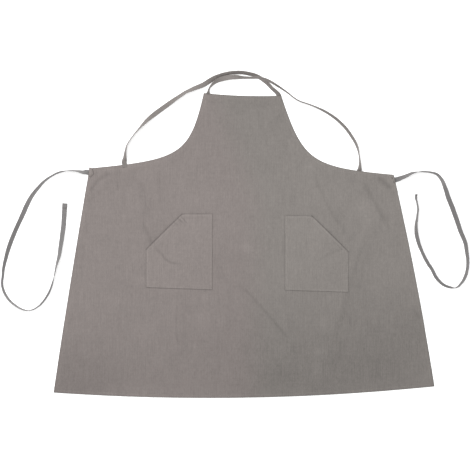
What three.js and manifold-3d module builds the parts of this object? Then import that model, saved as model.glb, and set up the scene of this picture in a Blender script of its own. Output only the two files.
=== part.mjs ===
// Kitchen apron with two patch pockets, shoulder straps that cross at the back and waist ties.
// It lies flat on its back: millimetres, +Z up, the bib towards +Y, left and right as seen from above.
import * as THREE from 'three';
import { mergeVertices } from 'three/addons/utils/BufferGeometryUtils.js';
import Module from 'manifold-3d';

const wasm = await Module();
wasm.setup();

// Cut of the cloth
const HEM_WIDTH = 1068;
const WAIST_WIDTH = 853;
const ARMPIT_WIDTH = 331;
const BIB_WIDTH = 219;
const SKIRT_LENGTH = 643;
const BIB_HEIGHT = 207;
const ARMPIT_RISE = 29;
const HEM_BOW = 25;
const LEFT_SIDE_BOW = 2;
const RIGHT_SIDE_BOW = 5.5;
const BIB_TOP_DIP = 4;
const ARMHOLE_FULLNESS = 0.93;

// Cloth, and the hem that is turned over along every edge
const CLOTH = 1.2;
const TURN_WIDTH = 10;
const TURN_THICK = 0.9;
const GAP = 0.3;

// Patch pockets
const POCKET_WIDTH = 181;
const POCKET_HEIGHT = 210;
const POCKET_TOP = 81;
const MOUTH_DROP = 99;
const MOUTH_TURN = 12;
const POCKET_RISE = 302;
const POCKET_SPACING = 204;
const POCKET_SHIFT = 13;
const POCKET_PUFF = 2.6;

// Tapes of the straps and ties
const TAPE_WIDTH = 14;
const TAPE_THICK = 1.4;
const STRAP_RISE = 66;
const LEFT_BIB_INSET = 13;
const RIGHT_BIB_INSET = 7;
const ARM_STRAP_INSET = 97;
const LEFT_TIE_INSET = 12;
const RIGHT_TIE_INSET = 15;
const SPANS_PER_POINT = 2;

// Roll of each tape where it is sewn to the cloth, in degrees
const SEWN_ROLL = { leftBib: 75, rightBib: -35, leftArm: -10, rightArm: 45, leftWaist: 12, rightWaist: -12 };

// Lying folds of the cloth
const FOLD_HEIGHT = 5;
const FOLD_WIDTH = 30;
const GRID = 14;
const CURVE_STEPS = 14;

// Corners of the cloth: share of the half width, and share of the rise over its base height
const CORNERS = {
  bibLeft: { width: BIB_WIDTH, outShare: -1.03, base: SKIRT_LENGTH, rise: BIB_HEIGHT, upShare: 1.02 },
  armpitLeft: { width: ARMPIT_WIDTH, outShare: -0.94, base: SKIRT_LENGTH, rise: ARMPIT_RISE, upShare: 0.9 },
  waistLeft: { width: WAIST_WIDTH, outShare: -1.016, base: 0, rise: SKIRT_LENGTH, upShare: 1 },
  hemLeft: { width: HEM_WIDTH, outShare: -1, base: 0, rise: HEM_BOW, upShare: 0.57 },
  hemRight: { width: HEM_WIDTH, outShare: 1, base: 0, rise: HEM_BOW, upShare: 1.26 },
  waistRight: { width: WAIST_WIDTH, outShare: 0.984, base: 0, rise: SKIRT_LENGTH, upShare: 0.972 },
  armpitRight: { width: ARMPIT_WIDTH, outShare: 1.03, base: SKIRT_LENGTH, rise: ARMPIT_RISE, upShare: 0.17 },
  bibRight: { width: BIB_WIDTH, outShare: 0.954, base: SKIRT_LENGTH, rise: BIB_HEIGHT, upShare: 0.985 },
};

// Folds: ends as shares of half the hem width and of the skirt length, height and half width as
// shares of the named fold
const FOLDS = [
  { x0: -0.81, y0: 0.885, x1: -0.7, y1: 0.975, highShare: 0.7, wideShare: 0.9 },
  { x0: -0.61, y0: 0.985, x1: -0.53, y1: 0.88, highShare: 0.8, wideShare: 0.8 },
  { x0: -0.53, y0: 0.88, x1: -0.495, y1: 0.7, highShare: 0.8, wideShare: 0.9 },
  { x0: -0.45, y0: 0.99, x1: -0.43, y1: 0.84, highShare: 0.5, wideShare: 0.7 },
  { x0: 0.37, y0: 1.0, x1: 0.45, y1: 0.86, highShare: 0.8, wideShare: 0.8 },
  { x0: 0.45, y0: 0.86, x1: 0.55, y1: 0.71, highShare: 0.8, wideShare: 0.8 },
  { x0: 0.7, y0: 0.975, x1: 0.79, y1: 0.91, highShare: 0.8, wideShare: 0.8 },
  { x0: 0.63, y0: 0.95, x1: 0.73, y1: 0.8, highShare: 0.6, wideShare: 0.9 },
  { x0: 0.68, y0: 0.76, x1: 0.57, y1: 0.5, highShare: 1, wideShare: 1.1 },
  { x0: 0.57, y0: 0.5, x1: 0.48, y1: 0.2, highShare: 0.8, wideShare: 1.1 },
  { x0: -0.03, y0: 0.5, x1: 0.26, y1: 0.24, highShare: 0.8, wideShare: 0.7 },
  { x0: -0.34, y0: 0.45, x1: -0.34, y1: 0.21, highShare: 0.7, wideShare: 0.8 },
  { x0: -0.66, y0: 0.4, x1: -0.57, y1: 0.2, highShare: 0.5, wideShare: 0.9 },
  { x0: 0.9, y0: 0.4, x1: 0.95, y1: 0.33, highShare: 0.6, wideShare: 0.8 },
];

// Pockets: side of the middle, and the lie's shares of the pocket's width, height, level top and mouth
// drop, and of the rise of its bottom at the inner and at the outer corner
const POCKETS = {
  pocket_left: {
    side: -1, widthShare: 1.024, heightShare: 1.012, topShare: 1.04, dropShare: 1.012,
    innerRiseShare: 1.002, outerRiseShare: 1.023,
  },
  pocket_right: {
    side: 1, widthShare: 0.978, heightShare: 0.994, topShare: 0.925, dropShare: 1.02,
    innerRiseShare: 0.998, outerRiseShare: 0.98,
  },
};

// Shoulder straps: shares of the way from the bib to the armhole, of the strap's rise over the bib
// or, below it, of the drop to the armhole, and of the tape's width for its lift; roll in degrees
const LEFT_STRAP = [
  { runShare: 0.007, levelShare: 0.25, roll: 72, liftShare: 0 },
  { runShare: 0.022, levelShare: 0.38, roll: 66, liftShare: 0 },
  { runShare: 0.044, levelShare: 0.522, roll: 60, liftShare: 0 },
  { runShare: 0.078, levelShare: 0.63, roll: 54, liftShare: 0 },
  { runShare: 0.12, levelShare: 0.695, roll: 50, liftShare: 0 },
  { runShare: 0.174, levelShare: 0.728, roll: 46, liftShare: 0 },
  { runShare: 0.233, levelShare: 0.72, roll: 42, liftShare: 0.15 },
  { runShare: 0.29, levelShare: 0.71, roll: 34, liftShare: 0.55 },
  { runShare: 0.34, levelShare: 0.7, roll: 28, liftShare: 0.78 },
  { runShare: 0.39, levelShare: 0.62, roll: 30, liftShare: 0.86 },
  { runShare: 0.443, levelShare: 0.47, roll: 40, liftShare: 0.82 },
  { runShare: 0.515, levelShare: 0.16, roll: 74, liftShare: 0.42 },
  { runShare: 0.593, levelShare: -0.06, roll: 84, liftShare: 0 },
  { runShare: 0.685, levelShare: -0.142, roll: 84, liftShare: 0 },
  { runShare: 0.77, levelShare: -0.217, roll: 76, liftShare: 0 },
  { runShare: 0.843, levelShare: -0.305, roll: 72, liftShare: 0 },
  { runShare: 0.902, levelShare: -0.421, roll: 70, liftShare: 0 },
  { runShare: 0.948, levelShare: -0.544, roll: 71, liftShare: 0 },
  { runShare: 0.98, levelShare: -0.673, roll: 76, liftShare: 0 },
  { runShare: 0.995, levelShare: -0.802, roll: 86, liftShare: 0 },
  { runShare: 1, levelShare: -0.911, roll: 70, liftShare: 0 },
];
const RIGHT_STRAP = [
  { runShare: 0.0145, levelShare: 0.12, roll: -42, liftShare: 0 },
  { runShare: 0.0385, levelShare: 0.3, roll: -44, liftShare: 0 },
  { runShare: 0.0685, levelShare: 0.49, roll: -40, liftShare: 0 },
  { runShare: 0.1105, levelShare: 0.67, roll: -34, liftShare: 0 },
  { runShare: 0.155, levelShare: 0.83, roll: -38, liftShare: 0 },
  { runShare: 0.21, levelShare: 0.92, roll: -46, liftShare: 0 },
  { runShare: 0.266, levelShare: 0.95, roll: -50, liftShare: 0 },
  { runShare: 0.321, levelShare: 0.92, roll: -52, liftShare: 0 },
  { runShare: 0.376, levelShare: 0.83, roll: -48, liftShare: 0 },
  { runShare: 0.431, levelShare: 0.67, roll: -24, liftShare: 0 },
  { runShare: 0.486, levelShare: 0.48, roll: -18, liftShare: 0 },
  { runShare: 0.547, levelShare: 0.28, roll: -48, liftShare: 0 },
  { runShare: 0.602, levelShare: 0.101, roll: -66, liftShare: 0 },
  { runShare: 0.661, levelShare: -0.03, roll: -60, liftShare: 0 },
  { runShare: 0.725, levelShare: -0.126, roll: -47, liftShare: 0 },
  { runShare: 0.793, levelShare: -0.238, roll: -42, liftShare: 0 },
  { runShare: 0.855, levelShare: -0.351, roll: -58, liftShare: 0 },
  { runShare: 0.903, levelShare: -0.464, roll: -80, liftShare: 0 },
  { runShare: 0.949, levelShare: -0.584, roll: -86, liftShare: 0 },
  { runShare: 0.978, levelShare: -0.704, roll: -86, liftShare: 0 },
  { runShare: 0.991, levelShare: -0.817, roll: -76, liftShare: 0 },
  { runShare: 0.997, levelShare: -0.915, roll: -50, liftShare: 0 },
];

// Waist ties: millimetres out from the sewn end and towards the bib, and the roll in degrees
const LEFT_TIE = [
  [15, 0.5, -40], [34, 4.5, -70], [56, 5.5, -88], [79.5, 1, -99], [100.5, -8.5, -103],
  [122, -23, -111], [141, -43, -123], [159, -66, -135], [172, -89, -147], [183, -114, -150],
  [194, -138, -140], [206, -164, -140], [216, -189, -141], [225, -214, -137], [231, -236, -128],
  [237, -262, -118], [240, -287, -110], [242, -312, -106], [236, -336, -111], [220.5, -359.5, -107],
  [198, -377, -101], [177.5, -386, -96], [160, -385.5, -82], [142, -376.5, -80], [125.5, -360, -75],
  [111.5, -338, -75], [102, -312.5, -80], [95.5, -286.5, -87], [90, -261.5, -79], [83, -234.5, -134],
  [78.5, -206.5, -153], [74.5, -178, -161], [71, -150, -165], [69, -121, -166], [67, -89, -172],
];
const RIGHT_TIE = [
  [17, 5.5, -32], [33.5, 12, -48], [50.5, 20, -68], [73, 23, -96], [97.5, 22, -103],
  [117, 16, -112], [130, 1, -125], [140, -22, -136], [150, -51, -151], [162, -81, -155],
  [173, -112, -148], [183, -143, -141], [195, -172, -135], [201, -200, -128], [204, -226, -120],
  [203, -247, -116], [197, -269, -117], [187, -287.5, -109], [172, -301, -97], [154.5, -301, -66],
  [134.5, -293, -61], [117.5, -276.5, -57], [104, -252.5, -56], [89, -228.5, -54], [77.5, -205, -57],
  [68, -181, -51], [61, -156, -46], [59, -129, -59], [62, -104, -74], [64, -82, -77],
  [61, -63, -81], [58, -50, -80], [60, -40, -74],
];

const MATERIALS = {
  cloth: new THREE.MeshStandardMaterial({ name: 'cloth', color: 0x8f8783, roughness: 0.95, metalness: 0 }),
  tape: new THREE.MeshStandardMaterial({ name: 'tape', color: 0x827d7a, roughness: 0.95, metalness: 0 }),
};

// Outline of the cloth

function corner(name) {
  const { width, outShare, base, rise, upShare } = CORNERS[name];
  return new THREE.Vector2((width / 2) * outShare, base + rise * upShare);
}

// The armhole from the bib to the waist: its ends aim at the armpit corner
function armhole(side) {
  const bib = corner(`bib${side}`);
  const pit = corner(`armpit${side}`);
  const waist = corner(`waist${side}`);
  const first = bib.clone().lerp(pit, ARMHOLE_FULLNESS);
  const second = waist.clone().lerp(pit, ARMHOLE_FULLNESS);
  return new THREE.CubicBezierCurve(bib, first, second, waist);
}

function reversed({ v0, v1, v2, v3 }) {
  return new THREE.CubicBezierCurve(v3, v2, v1, v0);
}

// A shallow curve between two corners whose middle stands off the straight line to its right
function bowed(from, to, bow) {
  const along = to.clone().sub(from).normalize();
  const middle = from.clone().lerp(to, 0.5);
  middle.add(new THREE.Vector2(along.y, -along.x).multiplyScalar(2 * bow));
  return new THREE.QuadraticBezierCurve(from, middle, to);
}

// The bottom edge hangs down to y = 0 in its middle
function bottomEdge() {
  const left = corner('hemLeft');
  const right = corner('hemRight');
  const lowest = new THREE.Vector2((left.x + right.x) / 2, -(left.y + right.y) / 2);
  return new THREE.QuadraticBezierCurve(left, lowest, right);
}

// The edges in turn, with the cloth on the left of each
const EDGES = {
  leftArmhole: armhole('Left'),
  leftSide: bowed(corner('waistLeft'), corner('hemLeft'), LEFT_SIDE_BOW),
  bottom: bottomEdge(),
  rightSide: bowed(corner('hemRight'), corner('waistRight'), RIGHT_SIDE_BOW),
  rightArmhole: reversed(armhole('Right')),
  bibTop: bowed(corner('bibRight'), corner('bibLeft'), -BIB_TOP_DIP),
};

function clothOutline() {
  return Object.values(EDGES).flatMap((edge) => edge.getSpacedPoints(CURVE_STEPS).slice(0, -1));
}

// The outline moved inwards, each corner to where its two moved sides meet
function inset(outline, distance) {
  return outline.map((point, i) => {
    const before = outline.at(i - 1);
    const after = outline[(i + 1) % outline.length];
    const into = point.clone().sub(before).normalize();
    const out = after.clone().sub(point).normalize();
    const bisector = new THREE.Vector2(-into.y - out.y, into.x + out.x);
    return point.clone().addScaledVector(bisector, distance / (1 + into.dot(out)));
  });
}

// Solids

function solidOf(geometry) {
  geometry.deleteAttribute('normal');
  geometry.deleteAttribute('uv');
  const merged = mergeVertices(geometry);
  return new wasm.Manifold(new wasm.Mesh({
    numProp: 3,
    vertProperties: merged.attributes.position.array,
    triVerts: Uint32Array.from(merged.index.array),
  }));
}

function geometryOf(solid) {
  const mesh = solid.getMesh();
  const geometry = new THREE.BufferGeometry();
  geometry.setAttribute('position', new THREE.BufferAttribute(mesh.vertProperties, 3));
  geometry.setIndex(new THREE.BufferAttribute(mesh.triVerts, 1));
  geometry.computeVertexNormals();
  return geometry;
}

// An upright column over an outline that reaches past every layer of cloth, above and below
function columnOver(outline) {
  const reach = FOLD_HEIGHT + POCKET_PUFF + GAP + 2 * (CLOTH + TURN_THICK);
  const shape = new THREE.Shape(outline);
  const geometry = new THREE.ExtrudeGeometry(shape, { depth: 2 * reach, bevelEnabled: false });
  return solidOf(geometry.translate(0, 0, -reach / 2));
}

// A closed layer over whole grid cells around an outline, between two heights at each grid point
function layer(outline, under, over) {
  const box = new THREE.Box2().setFromPoints(outline);
  const west = Math.floor(box.min.x / GRID);
  const south = Math.floor(box.min.y / GRID);
  const columns = Math.ceil(box.max.x / GRID) - west;
  const rows = Math.ceil(box.max.y / GRID) - south;
  const positions = [];
  for (const height of [under, over]) {
    for (let j = 0; j <= rows; j += 1) {
      for (let i = 0; i <= columns; i += 1) {
        const x = (west + i) * GRID;
        const y = (south + j) * GRID;
        positions.push(x, y, height(x, y));
      }
    }
  }
  const top = (columns + 1) * (rows + 1);
  const at = (i, j) => j * (columns + 1) + i;
  const faces = [];
  const quad = (a, b, c, d) => faces.push(a, b, c, a, c, d);
  for (let j = 0; j < rows; j += 1) {
    for (let i = 0; i < columns; i += 1) {
      const [a, b, c, d] = [at(i, j), at(i + 1, j), at(i + 1, j + 1), at(i, j + 1)];
      quad(top + a, top + b, top + c, top + d);
      faces.push(a, c, b, a, d, c);
    }
  }
  for (let i = 0; i < columns; i += 1) {
    quad(at(i, 0), at(i + 1, 0), top + at(i + 1, 0), top + at(i, 0));
    quad(at(i + 1, rows), at(i, rows), top + at(i, rows), top + at(i + 1, rows));
  }
  for (let j = 0; j < rows; j += 1) {
    quad(at(columns, j), at(columns, j + 1), top + at(columns, j + 1), top + at(columns, j));
    quad(at(0, j + 1), at(0, j), top + at(0, j), top + at(0, j + 1));
  }
  const geometry = new THREE.BufferGeometry();
  geometry.setAttribute('position', new THREE.Float32BufferAttribute(positions, 3));
  geometry.setIndex(faces);
  return solidOf(geometry);
}

// A round swell from 1 at its middle to 0 at its rim
function swell(distance, radius) {
  return distance < radius ? 0.5 + 0.5 * Math.cos((Math.PI * distance) / radius) : 0;
}

// Height of the folds over the surface that the cloth lies on
function ground(x, y) {
  const point = new THREE.Vector3(x, y, 0);
  const heights = FOLDS.map((fold) => {
    const from = new THREE.Vector3((fold.x0 * HEM_WIDTH) / 2, fold.y0 * SKIRT_LENGTH, 0);
    const to = new THREE.Vector3((fold.x1 * HEM_WIDTH) / 2, fold.y1 * SKIRT_LENGTH, 0);
    const nearest = new THREE.Line3(from, to).closestPointToPoint(point, true, new THREE.Vector3());
    const rise = swell(nearest.distanceTo(point), fold.wideShare * FOLD_WIDTH);
    return fold.highShare * FOLD_HEIGHT * rise;
  });
  return Math.max(...heights);
}

// One thickness of cloth over an outline, with a turned hem on it over part of that outline
function hemmedCloth(outline, under, hem) {
  const sheet = layer(outline, under, (x, y) => under(x, y) + CLOTH);
  const turned = layer(
    outline,
    (x, y) => under(x, y) + CLOTH / 2,
    (x, y) => under(x, y) + CLOTH + TURN_THICK,
  );
  const column = columnOver(outline);
  return geometryOf(sheet.add(turned.intersect(hem)).intersect(column).simplify());
}

function makePanel() {
  const outline = clothOutline();
  const hem = columnOver(outline).subtract(columnOver(inset(outline, TURN_WIDTH)));
  return hemmedCloth(outline, ground, hem);
}

function makePocket({ side, widthShare, heightShare, topShare, dropShare, innerRiseShare, outerRiseShare }) {
  const inner = POCKET_SHIFT + (side * POCKET_SPACING) / 2;
  const outer = inner + side * POCKET_WIDTH * widthShare;
  const innerBottom = new THREE.Vector2(inner, POCKET_RISE * innerRiseShare);
  const outerBottom = new THREE.Vector2(outer, POCKET_RISE * outerRiseShare);
  const top = innerBottom.y + POCKET_HEIGHT * heightShare;
  const mouthTop = new THREE.Vector2(inner + side * POCKET_TOP * topShare, top);
  const mouthEnd = new THREE.Vector2(outer, top - MOUTH_DROP * dropShare);
  const outline = [innerBottom, outerBottom, mouthEnd, mouthTop, new THREE.Vector2(inner, top)];
  const middle = mouthTop.clone().lerp(mouthEnd, 0.5);
  const reach = mouthTop.distanceTo(mouthEnd) / 2;
  const under = (x, y) => {
    const open = POCKET_PUFF * swell(middle.distanceTo(new THREE.Vector2(x, y)), reach);
    return ground(x, y) + CLOTH + GAP + open;
  };
  const inwards = new THREE.Vector2(mouthEnd.y - mouthTop.y, mouthTop.x - mouthEnd.x);
  inwards.multiplyScalar(side).setLength(MOUTH_TURN);
  const mouth = [mouthTop, mouthTop.clone().add(inwards), mouthEnd.clone().add(inwards), mouthEnd];
  return hemmedCloth(outline, under, columnOver(mouth));
}

// Tapes

// A flat tape swept along a route of points, each with the roll and lift of the tape there
function makeTape(route) {
  const points = route.map(({ x, y }) => new THREE.Vector3(x, y, 0));
  const curve = new THREE.CatmullRomCurve3(points);
  const turns = new THREE.CatmullRomCurve3(route.map(({ roll, lift }) => new THREE.Vector3(roll, lift, 0)));
  const steps = (route.length - 1) * SPANS_PER_POINT;
  const geometry = new THREE.BoxGeometry(1, TAPE_WIDTH, TAPE_THICK, steps, 1, 1);
  const position = geometry.attributes.position;
  const up = new THREE.Vector3(0, 0, 1);
  for (let i = 0; i < position.count; i += 1) {
    const share = THREE.MathUtils.clamp(position.getX(i) + 0.5, 0, 1);
    const turn = turns.getPoint(share);
    const sine = Math.sin(THREE.MathUtils.degToRad(turn.x));
    const cosine = Math.cos(THREE.MathUtils.degToRad(turn.x));
    const along = curve.getTangent(share);
    const flat = new THREE.Vector3(-along.y, along.x, 0);
    const side = flat.clone().multiplyScalar(cosine).addScaledVector(up, sine);
    const face = up.clone().multiplyScalar(cosine).addScaledVector(flat, -sine);
    const stand = (TAPE_WIDTH * Math.abs(sine) + TAPE_THICK * Math.abs(cosine)) / 2;
    const place = curve.getPoint(share).setZ(stand + Math.max(turn.y, 0));
    place.addScaledVector(side, position.getY(i)).addScaledVector(face, position.getZ(i));
    position.setXYZ(i, place.x, place.y, place.z);
  }
  return geometryOf(solidOf(geometry));
}

// The point on an edge where a tape is sewn, and the way out of the cloth there
function seat(edge, distance) {
  const share = distance / edge.getLength();
  const along = edge.getTangentAt(share);
  return { place: edge.getPointAt(share), out: new THREE.Vector2(along.y, -along.x) };
}

function seatFromEnd(edge, distance) {
  return seat(edge, edge.getLength() - distance);
}

// Two route points straight out of an edge: the tape's end, and where it is free to bend
function sewnEnd({ place, out }, roll) {
  return [GAP, TAPE_WIDTH / 2].map((distance) => {
    const { x, y } = place.clone().addScaledVector(out, distance);
    return { x, y, roll, lift: 0 };
  });
}

function makeShoulderStrap(bib, bibRoll, arm, armRoll, table) {
  const bibTop = SKIRT_LENGTH + BIB_HEIGHT;
  const drop = bibTop - arm.place.y;
  const free = table.map(({ runShare, levelShare, roll, liftShare }) => ({
    x: THREE.MathUtils.lerp(bib.place.x, arm.place.x, runShare),
    y: bibTop + levelShare * (levelShare > 0 ? STRAP_RISE : drop),
    roll,
    lift: liftShare * TAPE_WIDTH,
  }));
  return makeTape([...sewnEnd(bib, bibRoll), ...free, ...sewnEnd(arm, armRoll).reverse()]);
}

function makeWaistTie(waist, waistRoll, side, table) {
  const free = table.map(([out, up, roll]) => ({
    x: waist.place.x + side * out,
    y: waist.place.y + up,
    roll: side * roll,
    lift: 0,
  }));
  return makeTape([...sewnEnd(waist, waistRoll), ...free]);
}

// Assembly

const object = new THREE.Group();
object.name = 'kitchen_apron';

function add(name, geometry, material) {
  const mesh = new THREE.Mesh(geometry, material.clone());
  mesh.name = name;
  object.add(mesh);
}

const leftBib = seatFromEnd(EDGES.bibTop, LEFT_BIB_INSET);
const rightBib = seat(EDGES.bibTop, RIGHT_BIB_INSET);
const leftArm = seatFromEnd(EDGES.leftArmhole, ARM_STRAP_INSET);
const rightArm = seat(EDGES.rightArmhole, ARM_STRAP_INSET);
const leftWaist = seat(EDGES.leftSide, LEFT_TIE_INSET);
const rightWaist = seatFromEnd(EDGES.rightSide, RIGHT_TIE_INSET);
const leftStrap = makeShoulderStrap(leftBib, SEWN_ROLL.leftBib, rightArm, SEWN_ROLL.rightArm, LEFT_STRAP);
const rightStrap = makeShoulderStrap(rightBib, SEWN_ROLL.rightBib, leftArm, SEWN_ROLL.leftArm, RIGHT_STRAP);

add('panel', makePanel(), MATERIALS.cloth);
for (const [name, row] of Object.entries(POCKETS)) {
  add(name, makePocket(row), MATERIALS.cloth);
}
add('shoulder_strap_left', leftStrap, MATERIALS.tape);
add('shoulder_strap_right', rightStrap, MATERIALS.tape);

// The origin is under the middle of the cloth and its shoulder straps, with the ties not counted
const middle = new THREE.Box3().setFromObject(object).getCenter(new THREE.Vector3());
add('waist_tie_left', makeWaistTie(leftWaist, SEWN_ROLL.leftWaist, -1, LEFT_TIE), MATERIALS.tape);
add('waist_tie_right', makeWaistTie(rightWaist, SEWN_ROLL.rightWaist, 1, RIGHT_TIE), MATERIALS.tape);
object.position.set(-middle.x, -middle.y, 0);

export default object;
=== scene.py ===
"""Kitchen apron laid flat on its back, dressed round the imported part.

Metres, +Z up, the bib towards +Y, left and right as seen from above.
"""

import math

import bpy
import numpy as np
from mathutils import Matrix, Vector
from mathutils.geometry import delaunay_2d_cdt
from mathutils.kdtree import KDTree


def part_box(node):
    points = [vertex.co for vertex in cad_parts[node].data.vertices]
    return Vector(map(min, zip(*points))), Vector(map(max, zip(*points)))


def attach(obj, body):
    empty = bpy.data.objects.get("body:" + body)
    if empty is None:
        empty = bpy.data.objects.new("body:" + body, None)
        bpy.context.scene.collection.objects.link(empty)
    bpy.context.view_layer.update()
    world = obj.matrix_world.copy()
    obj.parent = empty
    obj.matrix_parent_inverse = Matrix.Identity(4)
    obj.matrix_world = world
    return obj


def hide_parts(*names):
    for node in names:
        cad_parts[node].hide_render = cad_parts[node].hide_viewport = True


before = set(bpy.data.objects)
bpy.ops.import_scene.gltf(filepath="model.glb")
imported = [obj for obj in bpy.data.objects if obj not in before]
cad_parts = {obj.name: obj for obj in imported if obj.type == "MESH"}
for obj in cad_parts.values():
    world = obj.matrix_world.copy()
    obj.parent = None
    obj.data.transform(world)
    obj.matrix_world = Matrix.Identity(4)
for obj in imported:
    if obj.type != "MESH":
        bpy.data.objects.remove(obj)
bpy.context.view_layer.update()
PANEL_LOW, PANEL_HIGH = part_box("panel")

# Place of the cloth: the middle of its hem, and the line that heights on the cloth are measured from
BOTTOM_SAG = 0.0008
MIDDLE = (PANEL_LOW.x + PANEL_HIGH.x) / 2
HEM_LINE = PANEL_LOW.y + BOTTOM_SAG

# Camera, straight above the apron as in the photograph
CAMERA_HEIGHT = 4.0
FLOOR_SHOWN = 1.3183
PHOTO_MIDDLE = (MIDDLE - 0.0252, HEM_LINE + 0.4560)
SENSOR = 0.036

# Cut of the cloth
HEM_WIDTH = PANEL_HIGH.x - PANEL_LOW.x
WAIST_WIDTH = 0.853
ARMPIT_WIDTH = 0.331
BIB_WIDTH = 0.219
SKIRT_LENGTH = 0.643
BIB_HEIGHT = 0.207
ARMPIT_RISE = 0.029
HEM_BOW = 0.025
LEFT_SIDE_BOW = 0.002
RIGHT_SIDE_BOW = 0.0055
BIB_TOP_DIP = 0.004
ARMHOLE_FULLNESS = 0.93

# Cloth, and the narrow hem that is turned under along every edge
CLOTH = 0.0007
TURN = 0.0009
TURN_WIDTH = 0.0100
HEM_STITCH = 0.0085
HEM_EASE = 0.022

# Patch pockets
POCKET_WIDTH = 0.181
POCKET_HEIGHT = 0.210
POCKET_TOP = 0.081
MOUTH_DROP = 0.099
MOUTH_TURN = 0.012
POCKET_RISE = 0.302
POCKET_SPACING = 0.204
POCKET_SHIFT = 0.013
POCKET_SEAM = 0.0022
POCKET_TURN = 0.0005
POCKET_TURN_WIDTH = 0.008
MOUTH_GAPE = 0.0022
POCKET_CLEARANCE = 0.00012
POCKET_LINE = 0.0018
SIDE_SHADE = 0.08
MOUTH_SHADE = 0.42

# Tapes of the straps and ties
TAPE_WIDTH = 0.014
TAPE_THICK = 0.0015
TAPE_STEP = 0.0026
TAPE_SEAM = 0.70
TUCK = 0.008
STRAP_RISE = 0.066
LEFT_BIB_INSET = 0.013
RIGHT_BIB_INSET = 0.007
LEFT_ARM_INSET = 0.099
RIGHT_ARM_INSET = 0.097
LEFT_TIE_INSET = 0.012
RIGHT_TIE_INSET = 0.015
END_HEM = 0.0135

# Sewing thread
STITCH_PITCH = 0.0031
STITCH_LENGTH = 0.0025
THREAD_RADIUS = 0.00026

# Finish, as the share of light that the cloth sends back
CLOTH_COLOUR = (0.1715, 0.1545, 0.1452)
POCKET_COLOUR = (0.1775, 0.160, 0.1502)
TAPE_COLOUR = (0.152, 0.138, 0.131)
TIE_COLOUR = (0.144, 0.138, 0.137)
THREAD_COLOUR = (0.212, 0.193, 0.182)
BAR_THREAD_COLOUR = (0.080, 0.072, 0.068)


# Numbers

def ease(low, high, value):
    """0 below low, 1 above high and a smooth way between them."""
    share = np.clip((value - low) / (high - low), 0, 1)
    return share * share * (3 - 2 * share)


def hill(distance, width):
    return np.exp(-((distance / width) ** 2))


def mound(distance, reach):
    """1 in the middle and 0 from that reach on, with a round way between them."""
    near = np.clip(distance / reach, 0, 1)
    return 0.5 + 0.5 * np.cos(math.pi * near)


def noise(x, y, cell_x, cell_y, seed):
    """Smooth seeded noise from -1 to 1 over cells of that size."""
    size = 257
    table = np.random.default_rng(seed).uniform(-1, 1, (size, size))
    across, up = x / cell_x, y / cell_y
    i, j = np.floor(across).astype(int), np.floor(up).astype(int)
    u, v = across - i, up - j
    u = u * u * u * (u * (6 * u - 15) + 10)
    v = v * v * v * (v * (6 * v - 15) + 10)
    south = table[i % size, j % size] * (1 - u) + table[(i + 1) % size, j % size] * u
    north = table[i % size, (j + 1) % size] * (1 - u) + table[(i + 1) % size, (j + 1) % size] * u
    return south * (1 - v) + north * v


def bezier(controls, count):
    points = [np.asarray(control, float)[None, :] for control in controls]
    share = np.linspace(0, 1, count)[:, None]
    while len(points) > 1:
        points = [a + (b - a) * share for a, b in zip(points, points[1:])]
    return points[0]


def named(columns, rows):
    """Rows of a table as dictionaries."""
    return [dict(zip(columns, row)) for row in rows]


def unit(vectors):
    return vectors / np.linalg.norm(vectors, axis=-1, keepdims=True)


class Edge:
    """A line in plan with the cloth on its left, read by the distance along it."""

    LOOK = 0.0006
    SAME = 1e-7

    def __init__(self, points):
        points = np.asarray(points, float)
        moved = np.append(True, np.linalg.norm(np.diff(points, axis=0), axis=1) > self.SAME)
        self.points = points[moved]
        steps = np.linalg.norm(np.diff(self.points, axis=0), axis=1)
        self.distance = np.append(0, np.cumsum(steps))
        self.length = self.distance[-1]

    def at(self, distance):
        return np.stack([np.interp(distance, self.distance, self.points[:, k]) for k in (0, 1)], axis=-1)

    def along(self, distance):
        before = self.at(np.maximum(distance - self.LOOK, 0))
        after = self.at(np.minimum(distance + self.LOOK, self.length))
        return unit(after - before)

    def inward(self, distance):
        along = self.along(distance)
        return np.stack([-along[..., 1], along[..., 0]], axis=-1)


def turn_between(before, after):
    """Angle by which the outline turns to the left from one edge to the next."""
    a, b = before.along(before.length), after.along(0.0)
    return math.atan2(a[0] * b[1] - a[1] * b[0], a[0] * b[0] + a[1] * b[1])


def ring(edges, counts, inset):
    """The outline moved inwards, with the same number of points on every ring."""
    rows = []
    for k, (edge, count) in enumerate(zip(edges, counts)):
        start = inset * math.tan(turn_between(edges[k - 1], edge) / 2)
        end = inset * math.tan(turn_between(edge, edges[(k + 1) % len(edges)]) / 2)
        distance = start + (edge.length - start - end) * np.arange(count) / count
        rows.append(edge.at(distance) + inset * edge.inward(distance))
    return np.concatenate(rows)


# Outline of the panel

def corner(width, out_share, height):
    return np.array([MIDDLE + width / 2 * out_share, HEM_LINE + height])


BIB_LEFT = corner(BIB_WIDTH, -1.03, SKIRT_LENGTH + 1.02 * BIB_HEIGHT)
ARMPIT_LEFT = corner(ARMPIT_WIDTH, -0.94, SKIRT_LENGTH + 0.90 * ARMPIT_RISE)
WAIST_LEFT = corner(WAIST_WIDTH, -1.016, SKIRT_LENGTH)
HEM_LEFT = corner(HEM_WIDTH, -1, 0.57 * HEM_BOW)
HEM_RIGHT = corner(HEM_WIDTH, 1, 1.26 * HEM_BOW)
WAIST_RIGHT = corner(WAIST_WIDTH, 0.984, 0.972 * SKIRT_LENGTH)
ARMPIT_RIGHT = corner(ARMPIT_WIDTH, 1.03, SKIRT_LENGTH + 0.17 * ARMPIT_RISE)
BIB_RIGHT = corner(BIB_WIDTH, 0.954, SKIRT_LENGTH + 0.985 * BIB_HEIGHT)
EDGE_POINTS = 400


def armhole(bib, pit, waist):
    first = bib + (pit - bib) * ARMHOLE_FULLNESS
    second = waist + (pit - waist) * ARMHOLE_FULLNESS
    return bezier([bib, first, second, waist], EDGE_POINTS)


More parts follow.
